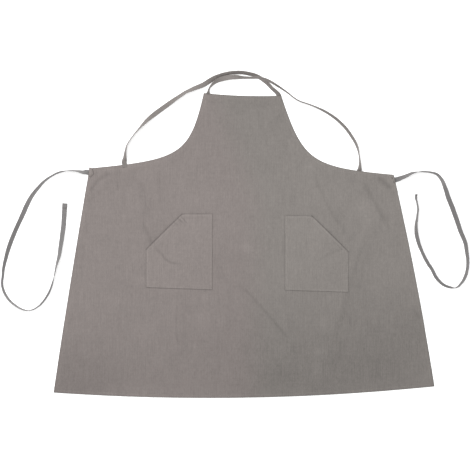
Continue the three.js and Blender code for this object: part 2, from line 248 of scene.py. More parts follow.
def bowed(start, end, bow):
    along = unit(end - start)
    middle = (start + end) / 2 + np.array([along[1], -along[0]]) * 2 * bow
    return bezier([start, middle, end], EDGE_POINTS)


def bottom_edge():
    middle = (HEM_LEFT + HEM_RIGHT) / 2
    lowest = np.array([middle[0], 2 * HEM_LINE - middle[1]])
    return bezier([HEM_LEFT, lowest, HEM_RIGHT], EDGE_POINTS)


LEFT_ARMHOLE = Edge(armhole(BIB_LEFT, ARMPIT_LEFT, WAIST_LEFT))
LEFT_SIDE = Edge(bowed(WAIST_LEFT, HEM_LEFT, LEFT_SIDE_BOW))
BOTTOM = Edge(bottom_edge())
RIGHT_SIDE = Edge(bowed(HEM_RIGHT, WAIST_RIGHT, RIGHT_SIDE_BOW))
RIGHT_ARMHOLE = Edge(armhole(BIB_RIGHT, ARMPIT_RIGHT, WAIST_RIGHT)[::-1])
BIB_TOP = Edge(bowed(BIB_RIGHT, BIB_LEFT, -BIB_TOP_DIP))
PANEL_EDGES = [LEFT_ARMHOLE, LEFT_SIDE, BOTTOM, RIGHT_SIDE, RIGHT_ARMHOLE, BIB_TOP]


# Camera

def make_camera():
    data = bpy.data.cameras.new("camera")
    data.sensor_width = SENSOR * 1000
    data.lens = data.sensor_width * CAMERA_HEIGHT / FLOOR_SHOWN
    camera = bpy.data.objects.new("camera", data)
    camera.location = (*PHOTO_MIDDLE, CAMERA_HEIGHT)
    bpy.context.scene.collection.objects.link(camera)
    bpy.context.scene.camera = camera


make_camera()


# Materials

class Nodes:
    """Short calls that add linked shader nodes to a material."""

    def __init__(self, name):
        self.material = bpy.data.materials.new(name)
        self.material.use_nodes = True
        self.tree = self.material.node_tree
        self.shader = self.tree.nodes["Principled BSDF"]

    def add(self, kind, outputs=0, inputs=(), **settings):
        node = self.tree.nodes.new(kind)
        for name, value in settings.items():
            setattr(node, name, value)
        for socket, value in inputs:
            if isinstance(value, bpy.types.NodeSocket):
                self.tree.links.new(value, node.inputs[socket])
            else:
                node.inputs[socket].default_value = value
        return node.outputs[outputs]

    def math(self, operation, *values):
        return self.add("ShaderNodeMath", inputs=enumerate(values), operation=operation)

    def attribute(self, name, output):
        return self.add("ShaderNodeAttribute", output, attribute_name=name, attribute_type="GEOMETRY")

    def noise(self, vector, detail=2.0, roughness=0.5):
        inputs = [("Vector", vector), ("Scale", 1.0), ("Detail", detail), ("Roughness", roughness)]
        return self.add("ShaderNodeTexNoise", "Fac", inputs, noise_dimensions="3D")

    def scaled(self, vector, size, shift=(0.0, 0.0, 0.0)):
        """Texture space in which one unit is size metres each way."""
        scale = [1 / side for side in size]
        inputs = [("Vector", vector), ("Scale", scale), ("Location", shift)]
        return self.add("ShaderNodeMapping", "Vector", inputs, vector_type="POINT")

    def about(self, value, amount):
        """A 0 to 1 value turned into one from -amount to amount."""
        return self.math("MULTIPLY", self.math("SUBTRACT", value, 0.5), 2 * amount)

    def total(self, *values):
        result = values[0]
        for value in values[1:]:
            result = self.math("ADD", result, value)
        return result

    def split(self, vector):
        """The separate coordinates of a vector."""
        node = self.tree.nodes.new("ShaderNodeSeparateXYZ")
        self.tree.links.new(vector, node.inputs[0])
        return node.outputs

    def tinted(self, colour, factor):
        """A colour made lighter or darker by a factor."""
        return self.add("ShaderNodeVectorMath", "Vector", [(0, colour), ("Scale", factor)], operation="SCALE")

    def finish(self, colour, height, bump, values):
        """Link the shader's colour and relief and set its other values."""
        normal = self.add("ShaderNodeBump", "Normal", [("Height", height), *bump.items()])
        self.tree.links.new(colour, self.shader.inputs["Base Color"])
        self.tree.links.new(normal, self.shader.inputs["Normal"])
        for name, value in values.items():
            self.shader.inputs[name].default_value = value
        return self.material


# Plain weave: distance between yarns, how sharply one passes over the next, and its contrasts
YARN = 0.00078
YARN_ROUNDNESS = 0.6
YARN_STEP = 0.35
OVER_AND_UNDER = 0.05
YARN_CONTRAST = 0.05

# Unevenness of the cloth: size of the spots across and along the warp, and strength
SLUBS = {"across": 0.0019, "along": 0.070, "amount": 0.160}
SHORT_SLUBS = {"across": 0.0023, "along": 0.011, "amount": 0.12}
WEFT_SLUBS = {"across": 0.055, "along": 0.0020, "amount": 0.060}
GRAIN = {"across": 0.0044, "along": 0.0060, "amount": 0.11}
MOTTLE = {"across": 0.0095, "along": 0.0140, "amount": 0.075}
PATCHY = {"across": 0.030, "along": 0.042, "amount": 0.060}
CLOUDY = {"across": 0.130, "along": 0.160, "amount": 0.050}
CLOTH_LAYERS = [SLUBS, SHORT_SLUBS, WEFT_SLUBS, GRAIN, MOTTLE, PATCHY, CLOUDY]
DARKEST = 0.05

# Surface of the cloth
CLOTH_FINISH = {"Specular IOR Level": 0.22, "Sheen Weight": 0.12, "Sheen Roughness": 0.55}
CLOTH_ROUGHNESS = 0.90
CLOTH_BUMP = {"Strength": 0.55, "Distance": 0.00018}

# Sewing thread: length of one twist, size of its spots, and its surface
THREAD_TWIST = 0.0009
THREAD_SPOTS = 0.004
THREAD_FINISH = {"Roughness": 0.62, "Specular IOR Level": 0.35, "Sheen Weight": 0.10}
THREAD_BUMP = {"Strength": 0.5, "Distance": 0.00008}

# Slow change of hue in the wide cloth: colour shares at the left and the right, the line between
# them, how far each passes into the other, and how the line leans over the bib
WARM_SIDE = (1.0085, 0.9820, 0.9920)
COOL_SIDE = (0.9915, 1.0090, 1.0010)
HUE_LINE = 0.030
HUE_BLEND = 0.060
HUE_LEAN = 0.37
HUE_LEAN_FROM = 0.10


def hued(nodes, tint, parts):
    """The tint, warmer at the left of the cloth and cooler at the right."""
    over_bib = nodes.math("MAXIMUM", nodes.math("SUBTRACT", parts["Y"], HUE_LEAN_FROM), 0.0)
    place = nodes.math("ADD", parts["X"], nodes.math("MULTIPLY", over_bib, HUE_LEAN))
    cool = nodes.add(
        "ShaderNodeMapRange", "Result",
        [("Value", place), ("From Min", HUE_LINE - HUE_BLEND), ("From Max", HUE_LINE + HUE_BLEND)],
        interpolation_type="SMOOTHSTEP",
    )
    change = tuple(right - left for left, right in zip(WARM_SIDE, COOL_SIDE))
    inputs = [(0, change), (1, cool), (2, WARM_SIDE)]
    side = nodes.add("ShaderNodeVectorMath", "Vector", inputs, operation="MULTIPLY_ADD")
    return nodes.add("ShaderNodeVectorMath", "Vector", [(0, tint), (1, side)], operation="MULTIPLY")


def cloth_material(name, colour, wide=True):
    """Plain-woven cloth: yarns over and under each other, slubs, mottle, and the tone given at each point,
    which holds rubbed and pressed marks, painted shade and painted light.
    """
    nodes = Nodes(name)
    place = nodes.attribute("weave", "Vector")
    tone = nodes.attribute("tone", "Fac")
    parts = nodes.split(place)
    warp, weft = (nodes.math("SINE", nodes.math("MULTIPLY", parts[axis], math.pi / YARN)) for axis in "XY")
    cell = nodes.math("MULTIPLY", warp, weft)
    yarn = nodes.math("POWER", nodes.math("ABSOLUTE", cell), YARN_ROUNDNESS)
    over = nodes.add(
        "ShaderNodeMapRange", "Result",
        [("Value", cell), ("From Min", -YARN_STEP), ("From Max", YARN_STEP),
         ("To Min", -OVER_AND_UNDER), ("To Max", OVER_AND_UNDER)],
    )
    spots = [
        nodes.noise(nodes.scaled(place, (layer["across"], layer["along"], 1.0), (3.0 * k, 5.0 * k, 0.0)))
        for k, layer in enumerate(CLOTH_LAYERS)
    ]
    uneven = [nodes.about(spot, layer["amount"]) for spot, layer in zip(spots, CLOTH_LAYERS)]
    warp_slub, _, weft_slub, grain, *_ = spots
    change = nodes.total(over, nodes.about(yarn, YARN_CONTRAST), *uneven, tone)
    tint = nodes.tinted(colour, nodes.math("MAXIMUM", nodes.math("ADD", change, 1.0), DARKEST))
    if wide:
        tint = hued(nodes, tint, parts)
    rough = nodes.total(nodes.about(grain, 0.05), nodes.about(warp_slub, 0.04), CLOTH_ROUGHNESS)
    nodes.tree.links.new(rough, nodes.shader.inputs["Roughness"])
    height = nodes.total(
        yarn,
        nodes.math("MULTIPLY", warp_slub, 0.9),
        nodes.math("MULTIPLY", weft_slub, 0.6),
        nodes.math("MULTIPLY", grain, 0.6),
    )
    return nodes.finish(tint, height, CLOTH_BUMP, CLOTH_FINISH)


def thread_material(name, colour):
    """Twisted sewing thread."""
    nodes = Nodes(name)
    place = nodes.attribute("weave", "Vector")
    parts = nodes.split(place)
    twist = nodes.math("MULTIPLY", nodes.math("ADD", parts["X"], parts["Y"]), math.tau / THREAD_TWIST)
    ply = nodes.math("ABSOLUTE", nodes.math("SINE", twist))
    spread = nodes.noise(nodes.scaled(place, [THREAD_SPOTS] * 3), 2.0, 0.6)
    tint = nodes.tinted(colour, nodes.total(nodes.about(ply, 0.12), nodes.about(spread, 0.10), 1.0))
    return nodes.finish(tint, ply, THREAD_BUMP, THREAD_FINISH)


PANEL_MATERIAL = cloth_material("panel_cloth", CLOTH_COLOUR)
POCKET_MATERIAL = cloth_material("pocket_cloth", POCKET_COLOUR)
TAPE_MATERIAL = cloth_material("tape_cloth", TAPE_COLOUR, wide=False)
TIE_MATERIAL = cloth_material("tie_cloth", TIE_COLOUR, wide=False)
THREAD_MATERIAL = thread_material("sewing_thread", THREAD_COLOUR)
BAR_MATERIAL = thread_material("bar_tack_thread", BAR_THREAD_COLOUR)


# Meshes

SHARP = math.radians(50)


def make_piece(name, points, faces, weave, tone, material, slot):
    """A mesh piece that rides on the body, with its own cloth coordinates and tone at each point."""
    mesh = bpy.data.meshes.new(name)
    mesh.from_pydata(points.tolist(), [], faces)
    weaves = mesh.attributes.new("weave", "FLOAT_VECTOR", "POINT")
    weaves.data.foreach_set("vector", weave.astype(np.float32).ravel())
    tones = mesh.attributes.new("tone", "FLOAT", "POINT")
    tones.data.foreach_set("value", tone.astype(np.float32))
    mesh.polygons.foreach_set("use_smooth", [True] * len(mesh.polygons))
    mesh.set_sharp_from_angle(angle=SHARP)
    mesh.materials.append(material)
    mesh.validate()
    piece = bpy.data.objects.new(name, mesh)
    bpy.context.scene.collection.objects.link(piece)
    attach(piece, "root")
    return piece


def stitch_template():
    """One stitch along X: rings that taper and dip into the cloth at both ends."""
    sides = 5
    shares = np.array([-1, -0.72, 0.72, 1])
    sizes = np.array([0.45, 1, 1, 0.45])
    dips = np.array([-1.3, 0.0, 0.0, -1.3])
    angles = np.arange(sides) * math.tau / sides
    rings = [
        np.stack([
            np.full(sides, share * STITCH_LENGTH / 2),
            np.cos(angles) * size * THREAD_RADIUS,
            np.sin(angles) * size * THREAD_RADIUS + dip * THREAD_RADIUS,
        ], axis=1)
        for share, size, dip in zip(shares, sizes, dips)
    ]
    faces = []
    for k in range(len(rings) - 1):
        for i in range(sides):
            j = (i + 1) % sides
            faces.append((k * sides + i, k * sides + j, (k + 1) * sides + j, (k + 1) * sides + i))
    last = (len(rings) - 1) * sides
    faces.append(tuple(range(sides))[::-1])
    faces.append(tuple(last + i for i in range(sides)))
    return np.concatenate(rings), faces, np.tile(angles, len(rings))


def make_stitches(name, centres, along, up, material, slot):
    """Many stitches as one piece: each lies along a direction, on a surface that faces up."""
    template, faces, angles = stitch_template()
    along = unit(along)
    side = unit(np.cross(up, along))
    up = np.cross(along, side)
    x, y, z = template.T
    points = (
        centres[:, None, :]
        + along[:, None, :] * x[None, :, None]
        + side[:, None, :] * y[None, :, None]
        + up[:, None, :] * z[None, :, None]
    )
    count, size = points.shape[:2]
    moved = [tuple(i + k * size for i in face[::-1]) for k in range(count) for face in faces]
    weave = np.stack([
        np.tile(x, count),
        np.tile(angles * THREAD_RADIUS, count),
        np.repeat(np.arange(count) * STITCH_PITCH, size),
    ], axis=1)
    tone = np.zeros(count * size)
    return make_piece(name, points.reshape(-1, 3), moved, weave, tone, material, slot)


def seam(path, height, closed=False):
    """Middles and directions of the stitches along a path in plan, on a surface of that height."""
    if closed:
        path = np.vstack([path, path[:1]])
    line = Edge(path)
    count = max(2, round(line.length / STITCH_PITCH))
    distance = (np.arange(count) + 0.5) * line.length / count
    places = line.at(distance)
    directions = line.along(distance)
    tops = height(places[:, 0], places[:, 1])
    centres = np.column_stack([places, tops + 0.5 * THREAD_RADIUS])
    along = np.column_stack([directions, np.zeros(count)])
    return centres, along


# Tapes

STRAIGHT_TURN = 1e-4


def through(points, shares):
    """Centripetal curve through points, at shares of the count of its spans."""
    points = np.asarray(points, float)
    ends = [2 * points[0] - points[1], 2 * points[-1] - points[-2]]
    padded = np.vstack([ends[0], points, ends[1]])
    spans = len(points) - 1
    place = np.clip(shares, 0, 1) * spans
    i = np.minimum(place.astype(int), spans - 1)
    w = (place - i)[:, None]
    p0, p1, p2, p3 = (padded[i + k] for k in range(4))
    gaps = [np.sum((b - a) ** 2, axis=1)[:, None] ** 0.25 for a, b in ((p0, p1), (p1, p2), (p2, p3))]
    d1 = np.where(gaps[1] < STRAIGHT_TURN, 1.0, gaps[1])
    d0 = np.where(gaps[0] < STRAIGHT_TURN, d1, gaps[0])
    d2 = np.where(gaps[2] < STRAIGHT_TURN, d1, gaps[2])
    t1 = ((p1 - p0) / d0 - (p2 - p0) / (d0 + d1) + (p2 - p1) / d1) * d1
    t2 = ((p2 - p1) / d1 - (p3 - p1) / (d1 + d2) + (p3 - p2) / d2) * d1
    return p1 + t1 * w + (-3 * p1 + 3 * p2 - 2 * t1 - t2) * w**2 + (2 * p1 - 2 * p2 + t1 + t2) * w**3


def even(route):
    """A route of (x, y, roll, lift) rows at even steps along its curve."""
    route = np.asarray(route, float)
    fine = np.linspace(0, 1, 60 * len(route))
    line = through(route[:, :2], fine)
    rolls = through(route[:, 2:], fine)
    steps = np.linalg.norm(np.diff(line, axis=0), axis=1)
    distance = np.append(0, np.cumsum(steps))
    count = round(distance[-1] / TAPE_STEP)
    wanted = np.linspace(0, distance[-1], count + 1)
    columns = [line[:, 0], line[:, 1], rolls[:, 0], rolls[:, 1]]
    rows = np.stack([np.interp(wanted, distance, column) for column in columns], axis=1)
    return wanted, rows


# Small waves of a tape, as height or shift and length of a wave
RIPPLE = (0.00022, 0.011)
LONG_RIPPLE = (0.0003, 0.034)
CURL = (0.0005, 0.055)
SWAY = (0.00018, 0.009)
TONE_WAVE = (0.04, 0.05)
LOWEST = 0.00005

# Hem at a tie's free end: how much thicker and wider the tie is there, how dark the painted shade at its step
# is, and where its stitches lie from either end of it
END_SWELL = 0.75
END_FLARE = 0.07
HEM_SHADE = 0.35
BOX_SEAM = 0.0018
BOX_REACH = 0.62

# How far a stitch lies out of the tape, and how long a tape's painted light takes to come and go
STITCH_RISE = 0.35 * THREAD_RADIUS
PAINTED_LIGHT_BLEND = 0.03


def wave(distance, kind, seed):
    height, length = kind
    return height * noise(distance, np.zeros_like(distance), length, 1, seed)


class Tape:
    """The lie of a flat tape: its middle line, the ways across it and out of its face, and its waves."""

    def __init__(self, route, seed, end_hem):
        self.distance, rows = even(route)
        self.seed, self.end_hem = seed, end_hem
        place, roll, lift = rows[:, :2], np.radians(rows[:, 2]), np.maximum(rows[:, 3], 0)
        along = unit(np.gradient(place, axis=0))
        flat = np.column_stack([-along[:, 1], along[:, 0], np.zeros(len(along))])
        up = np.array([0.0, 0.0, 1.0])
        sine, cosine = np.sin(roll)[:, None], np.cos(roll)[:, None]
        self.side = flat * cosine + up * sine
        self.face = up * cosine - flat * sine
        stand = (TAPE_WIDTH * np.abs(sine[:, 0]) + TAPE_THICK * np.abs(cosine[:, 0])) / 2
        self.middle = np.column_stack([place, stand + lift])
        self.along = unit(np.gradient(self.middle, axis=0))
        self.length = self.distance[-1]
        self.ripple = wave(self.distance, RIPPLE, seed) + wave(self.distance, LONG_RIPPLE, seed + 1)
        self.curl = wave(self.distance, CURL, seed + 2)
        self.sway = wave(self.distance, SWAY, seed + 3)
        step = self.length - END_HEM
        in_hem = end_hem * ease(step - 0.0008, step + 0.0002, self.distance)
        self.swell = 1 + END_SWELL * in_hem
        self.flare = 1 + END_FLARE * in_hem

    def read(self, distance, values):
        return np.interp(distance, self.distance, values)

    def frame(self, distance):
        """Middle, side, face and direction at some distances along the tape."""
        lines = (self.middle, self.side, self.face, self.along)
        return [np.stack([self.read(distance, line[:, k]) for k in range(3)], axis=1) for line in lines]


def tape_half(share):
    """Half the thickness of a tape across it: round sides, and a groove where it is stitched."""
    round_side = np.sqrt(np.maximum(1 - np.abs(share) ** 10, 0))
    groove = 0.30 * hill(share - TAPE_SEAM, 0.07)
    fold = 0.06 * hill(share + 0.93, 0.12)
    return TAPE_THICK / 2 * round_side * (1 - groove + fold)


ACROSS = np.array([
    -1, -0.985, -0.94, -0.84, -0.5, -0.1, 0.3, 0.54, 0.63, TAPE_SEAM, 0.77, 0.86, 0.95, 0.985, 1,
])
UPPER = np.column_stack([ACROSS, tape_half(ACROSS)])
LOWER = np.column_stack([ACROSS, -tape_half(ACROSS)])[-2:0:-1]
TAPE_SECTION = np.vstack([UPPER, LOWER])


def tape_points(tape):
    share, half = TAPE_SECTION.T
    across = share * TAPE_WIDTH / 2
    bent = tape.ripple[:, None] + tape.curl[:, None] * share[None, :] ** 2
    out = half[None, :] * tape.swell[:, None] + bent
    points = (
        tape.middle[:, None, :]
        + tape.side[:, None, :] * (across[None, :] * tape.flare[:, None] + tape.sway[:, None])[..., None]
        + tape.face[:, None, :] * out[..., None]
    )
    points[..., 2] = np.maximum(points[..., 2], LOWEST)
    columns = np.broadcast_arrays(across[None, :], tape.distance[:, None], half[None, :] * 0.3)
    weave = np.stack(columns, axis=-1)
    return points.reshape(-1, 3), weave.reshape(-1, 3)


def tape_faces(rows, size):
    """Faces round a tape between its rows of points, and one face over each end."""
    faces = []
    for k in range(rows - 1):
        for i in range(size):
            j = (i + 1) % size
            faces.append((k * size + i, (k + 1) * size + i, (k + 1) * size + j, k * size + j))
    last = (rows - 1) * size
    faces.append(tuple(range(size)))
    faces.append(tuple(last + i for i in range(size))[::-1])
    return faces


def tape_tone(tape, tones):
    """Paler rubbed sides, painted shade in the seam's groove and at the step of the end's hem, and the tape's
    own tones: painted shade all along that turns to painted light where it is below 0, a darker free end and
    a stretch of painted light.
    """
    s = tape.distance
    share = TAPE_SECTION[:, 0]
    worn_and_seam_shade = 0.07 * ease(0.90, 1.0, np.abs(share)) - 0.10 * hill(share - TAPE_SEAM, 0.06)
    # Painted shade all along and at the hem's step, the darker free end, less the painted light of a stretch
    dark = tones["dark"] + tones["dark_end"] * ease(tape.length - 0.008, tape.length - 0.004, s)
    dark = dark + tape.end_hem * HEM_SHADE * hill(s - tape.length + END_HEM, 0.0022)
    start, stop = tones["painted_light_from"], tones["painted_light_to"]
    dark = dark - tones["painted_light"] * ease(start, start + PAINTED_LIGHT_BLEND, s) * (1 - ease(stop - PAINTED_LIGHT_BLEND, stop, s))
    spots = wave(s, TONE_WAVE, tape.seed + 4)
    return (np.broadcast_to(worn_and_seam_shade[None, :], (len(s), len(share))) + (spots - dark)[:, None]).ravel()


def tape_stitches(name, tape):
    """Stitches along one side on both faces, and across the hem at a free end."""
    first = TUCK + STITCH_PITCH
    count = round((tape.length - first) / STITCH_PITCH) - 1
    at = first + np.arange(count) * STITCH_PITCH
    middle, side, face, along = tape.frame(at)
    offset = tape.read(at, tape.ripple) + tape.read(at, tape.curl) * TAPE_SEAM**2
    level = tape_half(np.array(TAPE_SEAM)) + STITCH_RISE
    thick = tape.read(at, tape.swell)
    line = middle + side * (TAPE_SEAM * TAPE_WIDTH / 2 + tape.read(at, tape.sway))[:, None]
    centres = [line + face * (offset + sign * level * thick)[:, None] for sign in (1, -1)]
    ways = [along, along]
    ups = [face, -face]
    spread = np.arange(-BOX_REACH, BOX_REACH + 0.01, 2 * STITCH_PITCH / TAPE_WIDTH)
    for back in (END_HEM - BOX_SEAM, BOX_SEAM) if tape.end_hem else ():
        at = np.full(len(spread), tape.length - back)
        middle, side, face, _ = tape.frame(at)
        bent = tape.read(at, tape.ripple) + tape.read(at, tape.curl) * spread**2
        rise = bent + tape_half(spread) * tape.read(at, tape.swell) + STITCH_RISE
        centres.append(middle + side * (spread * TAPE_WIDTH / 2)[:, None] + face * rise[:, None])
        ways.append(side)
        ups.append(face)
    parts = [np.concatenate(part) for part in (centres, ways, ups)]
    return make_stitches(name, *parts, THREAD_MATERIAL, "tape")


def make_tape(name, tape, replaced, tones, material):
    points, weave = tape_points(tape)
    faces = tape_faces(len(tape.distance), len(TAPE_SECTION))
    piece = make_piece(name, points, faces, weave, tape_tone(tape, tones), material, "tape")
    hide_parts(replaced)
    return piece, tape_stitches(name.replace("_tape", "_stitches"), tape)


# Shoulder straps: shares of the way from the bib to the armhole, of the strap's rise over the bib or,
# below it, of the drop to the armhole, the roll in degrees and the lift as a share of the tape's width
LEFT_STRAP = [
    (0.007, 0.25, 76, 0), (0.022, 0.38, 68, 0), (0.044, 0.51, 54, 0), (0.078, 0.62, 34, 0.12),
    (0.12, 0.7, 16, 0.24), (0.174, 0.735, 30, 0.24), (0.233, 0.71, 62, 0.24), (0.29, 0.69, 70, 0.5),
    (0.34, 0.685, 68, 0.72), (0.39, 0.58, 66, 0.8), (0.443, 0.397, 70, 0.76), (0.515, 0.096, 80, 0.4),
    (0.593, -0.08, 86, 0), (0.685, -0.144, 84, 0), (0.77, -0.222, 70, 0), (0.843, -0.316, 64, 0),
    (0.902, -0.426, 61, 0), (0.948, -0.544, 62, 0), (0.983, -0.673, 68, 0), (0.998, -0.802, 86, 0),
    (1.003, -0.911, 70, 0),
]
RIGHT_STRAP = [
    (0.017, 0.1, -46, 0), (0.0455, 0.258, -50, 0), (0.073, 0.452, -48, 0), (0.1115, 0.658, -44, 0),
    (0.155, 0.812, -46, 0), (0.21, 0.902, -50, 0), (0.266, 0.936, -50, 0), (0.321, 0.908, -52, 0),
    (0.376, 0.812, -48, 0), (0.431, 0.648, -24, 0), (0.486, 0.425, 8, 0), (0.547, 0.26, 26, 0),
    (0.602, 0.098, 44, 0), (0.661, -0.0515, 36, 0), (0.725, -0.15, 14, 0), (0.793, -0.261, 10, 0),
    (0.855, -0.372, 36, 0), (0.903, -0.486, 66, 0), (0.949, -0.603, 77, 0), (0.981, -0.708, 77, 0),
    (0.994, -0.817, 64, 0), (0.998, -0.915, 36, 0),
]

# Waist ties: metres out from the sewn end and towards the bib, and the roll in degrees
LEFT_TIE = [
    (0.015, 0.0005, -40), (0.034, 0.0045, -70), (0.056, 0.0055, -82), (0.0795, 0.001, -103),
    (0.1005, -0.0085, -103), (0.122, -0.023, -111), (0.141, -0.043, -123), (0.159, -0.066, -135),
    (0.172, -0.089, -147), (0.183, -0.114, -150), (0.194, -0.138, -140), (0.206, -0.164, -140),
    (0.216, -0.189, -141), (0.225, -0.214, -137), (0.231, -0.236, -128), (0.237, -0.262, -118),
    (0.24, -0.287, -110), (0.242, -0.312, -106), (0.236, -0.336, -111), (0.2205, -0.3595, -107),
    (0.198, -0.377, -101), (0.1775, -0.386, -96), (0.16, -0.3855, -82), (0.142, -0.3765, -80),
    (0.1255, -0.36, -75), (0.1115, -0.338, -75), (0.102, -0.3125, -80), (0.0955, -0.2865, -103),
    (0.09, -0.2615, -116), (0.083, -0.2345, -138), (0.0785, -0.2065, -153), (0.0745, -0.178, -161),
    (0.071, -0.15, -170), (0.069, -0.121, -173), (0.067, -0.089, -178),
]
# The end of the left tie past the last point of its solid
LEFT_TIE_TIP = (0.0668, -0.0862, -178)

RIGHT_TIE = [
    (0.017, 0.0055, -32), (0.0335, 0.012, -48), (0.0505, 0.02, -68), (0.073, 0.023, -96),
    (0.0975, 0.022, -103), (0.117, 0.016, -112), (0.13, 0.001, -125), (0.14, -0.022, -136),
    (0.15, -0.051, -151), (0.162, -0.081, -155), (0.173, -0.112, -148), (0.183, -0.143, -141),
    (0.195, -0.172, -135), (0.201, -0.2, -128), (0.204, -0.226, -120), (0.203, -0.247, -116),
    (0.197, -0.269, -117), (0.187, -0.2875, -109), (0.172, -0.301, -97), (0.1545, -0.301, -66),
    (0.1345, -0.293, -61), (0.1175, -0.2765, -57), (0.104, -0.2525, -56), (0.089, -0.2285, -54),
    (0.0775, -0.205, -57), (0.068, -0.181, -51), (0.061, -0.156, -46), (0.059, -0.129, -59),
    (0.062, -0.104, -74), (0.064, -0.082, -77), (0.061, -0.063, -81), (0.058, -0.05, -80),
    (0.06, -0.04, -74),
]


def seat(edge, distance):
    """The point on an edge where a tape is sewn, and the way out of the cloth there."""
    return edge.at(distance), -edge.inward(distance)


LEFT_BIB_SEAT = seat(BIB_TOP, BIB_TOP.length - LEFT_BIB_INSET)
RIGHT_BIB_SEAT = seat(BIB_TOP, RIGHT_BIB_INSET)
LEFT_ARM_SEAT = seat(LEFT_ARMHOLE, LEFT_ARMHOLE.length - LEFT_ARM_INSET)
RIGHT_ARM_SEAT = seat(RIGHT_ARMHOLE, RIGHT_ARM_INSET)
LEFT_WAIST_SEAT = seat(LEFT_SIDE, LEFT_TIE_INSET)
RIGHT_WAIST_SEAT = seat(RIGHT_SIDE, RIGHT_SIDE.length - RIGHT_TIE_INSET)


# How far a sewn end has turned and come down: metres out of the edge, shares of its roll and lift
SEWN_END = [(-TUCK, 0, 1), (-TUCK / 2, 0, 1), (0.0003, 0.08, 0.9), (0.0035, 0.45, 0.7), (0.007, 0.85, 0.4)]
BIB_END = [(-TUCK, 0, 1), (-TUCK / 4, 0, 1), (0.0003, 0.35, 0.9), (0.0014, 0.75, 0.7)]


def sewn_end(place_and_way, roll, lift=0.0, turns=SEWN_END):
    """Route points from inside the hem, where the tape is sewn in flat, to where it is free to bend."""
    place, out = place_and_way
    return [(*(place + out * distance), roll * turned, lift * up) for distance, turned, up in turns]


def strap_route(bib, bib_roll, arm, arm_roll, table, arm_lift=0.0):
    top = HEM_LINE + SKIRT_LENGTH + BIB_HEIGHT
    drop = top - arm[0][1]
    width = arm[0][0] - bib[0][0]
    free = [
        (bib[0][0] + width * run, top + level * (STRAP_RISE if level > 0 else drop), roll, lift * TAPE_WIDTH)
        for run, level, roll, lift in table
    ]
    return sewn_end(bib, bib_roll, turns=BIB_END) + free + sewn_end(arm, arm_roll, arm_lift)[::-1]


def tie_route(waist, waist_roll, side, table):
    place = waist[0]
    free = [(place[0] + side * out, place[1] + up, side * roll, 0.0) for out, up, roll in table]
    return sewn_end(waist, waist_roll) + free


# Tones of the tapes: painted shade all along (painted light where below 0), darker at the free end, and
# painted light between two distances along
TONE_COLUMNS = ("dark", "dark_end", "painted_light", "painted_light_from", "painted_light_to")
LEFT_TIE_TONES, RIGHT_TIE_TONES, LEFT_STRAP_TONES, RIGHT_STRAP_TONES = named(TONE_COLUMNS, [
    (-0.07, 0.05, 0.3, 0.085, 0.235),
    (0.08, 0.45, 0.25, 0.09, 0.18),
    (0, 0, 0.3, -0.04, 0.235),
    (0, 0, 0.3, 0.045, 0.235),
])


def make_tie(name, node, route, seed, tones):
    lie = Tape(route, seed, True)
    tape, stitches = make_tape(name, lie, node, tones, TIE_MATERIAL)


def make_strap(name, node, route, seed, tones):
    tape, stitches = make_tape(name, Tape(route, seed, False), node, tones, TAPE_MATERIAL)


ON_HEM = CLOTH + TURN + 0.0003
LEFT_TIE_ROUTE = tie_route(LEFT_WAIST_SEAT, 12, -1, LEFT_TIE + [LEFT_TIE_TIP])
RIGHT_TIE_ROUTE = tie_route(RIGHT_WAIST_SEAT, -12, 1, RIGHT_TIE)
LEFT_ROUTE = strap_route(LEFT_BIB_SEAT, 75, RIGHT_ARM_SEAT, 55, LEFT_STRAP)
RIGHT_ROUTE = strap_route(RIGHT_BIB_SEAT, -35, LEFT_ARM_SEAT, -10, RIGHT_STRAP, ON_HEM)
make_tie("tie_left_tape", "waist_tie_left", LEFT_TIE_ROUTE, 11, LEFT_TIE_TONES)
make_tie("tie_right_tape", "waist_tie_right", RIGHT_TIE_ROUTE, 21, RIGHT_TIE_TONES)
make_strap("strap_left_tape", "shoulder_strap_left", LEFT_ROUTE, 31, LEFT_STRAP_TONES)
make_strap("strap_right_tape", "shoulder_strap_right", RIGHT_ROUTE, 41, RIGHT_STRAP_TONES)


# Relief of the cloth

# Folds: ends as shares of half the hem width and of the skirt length, height and half width as
# shares of the named fold
FOLD_HEIGHT = 0.0034
FOLD_WIDTH = 0.030
FOLDS = [
    (-0.81, 0.885, -0.7, 0.975, 0.7, 0.9), (-0.61, 0.985, -0.53, 0.88, 0.8, 0.8),
    (-0.53, 0.88, -0.495, 0.7, 0.8, 0.9), (-0.45, 0.99, -0.43, 0.84, 0.5, 0.7),
    (0.37, 1.0, 0.45, 0.86, 0.8, 0.8), (0.45, 0.86, 0.55, 0.71, 0.8, 0.8),
    (0.7, 0.975, 0.79, 0.91, 0.8, 0.8), (0.63, 0.95, 0.73, 0.8, 0.6, 0.9),
    (0.68, 0.76, 0.57, 0.5, 1, 1.1), (0.57, 0.5, 0.48, 0.2, 0.8, 1.1),
    (-0.03, 0.5, 0.26, 0.24, 0.8, 0.7), (-0.34, 0.45, -0.34, 0.21, 0.7, 0.8),
    (-0.66, 0.4, -0.57, 0.2, 0.5, 0.9), (0.9, 0.4, 0.95, 0.33, 0.6, 0.8),
]
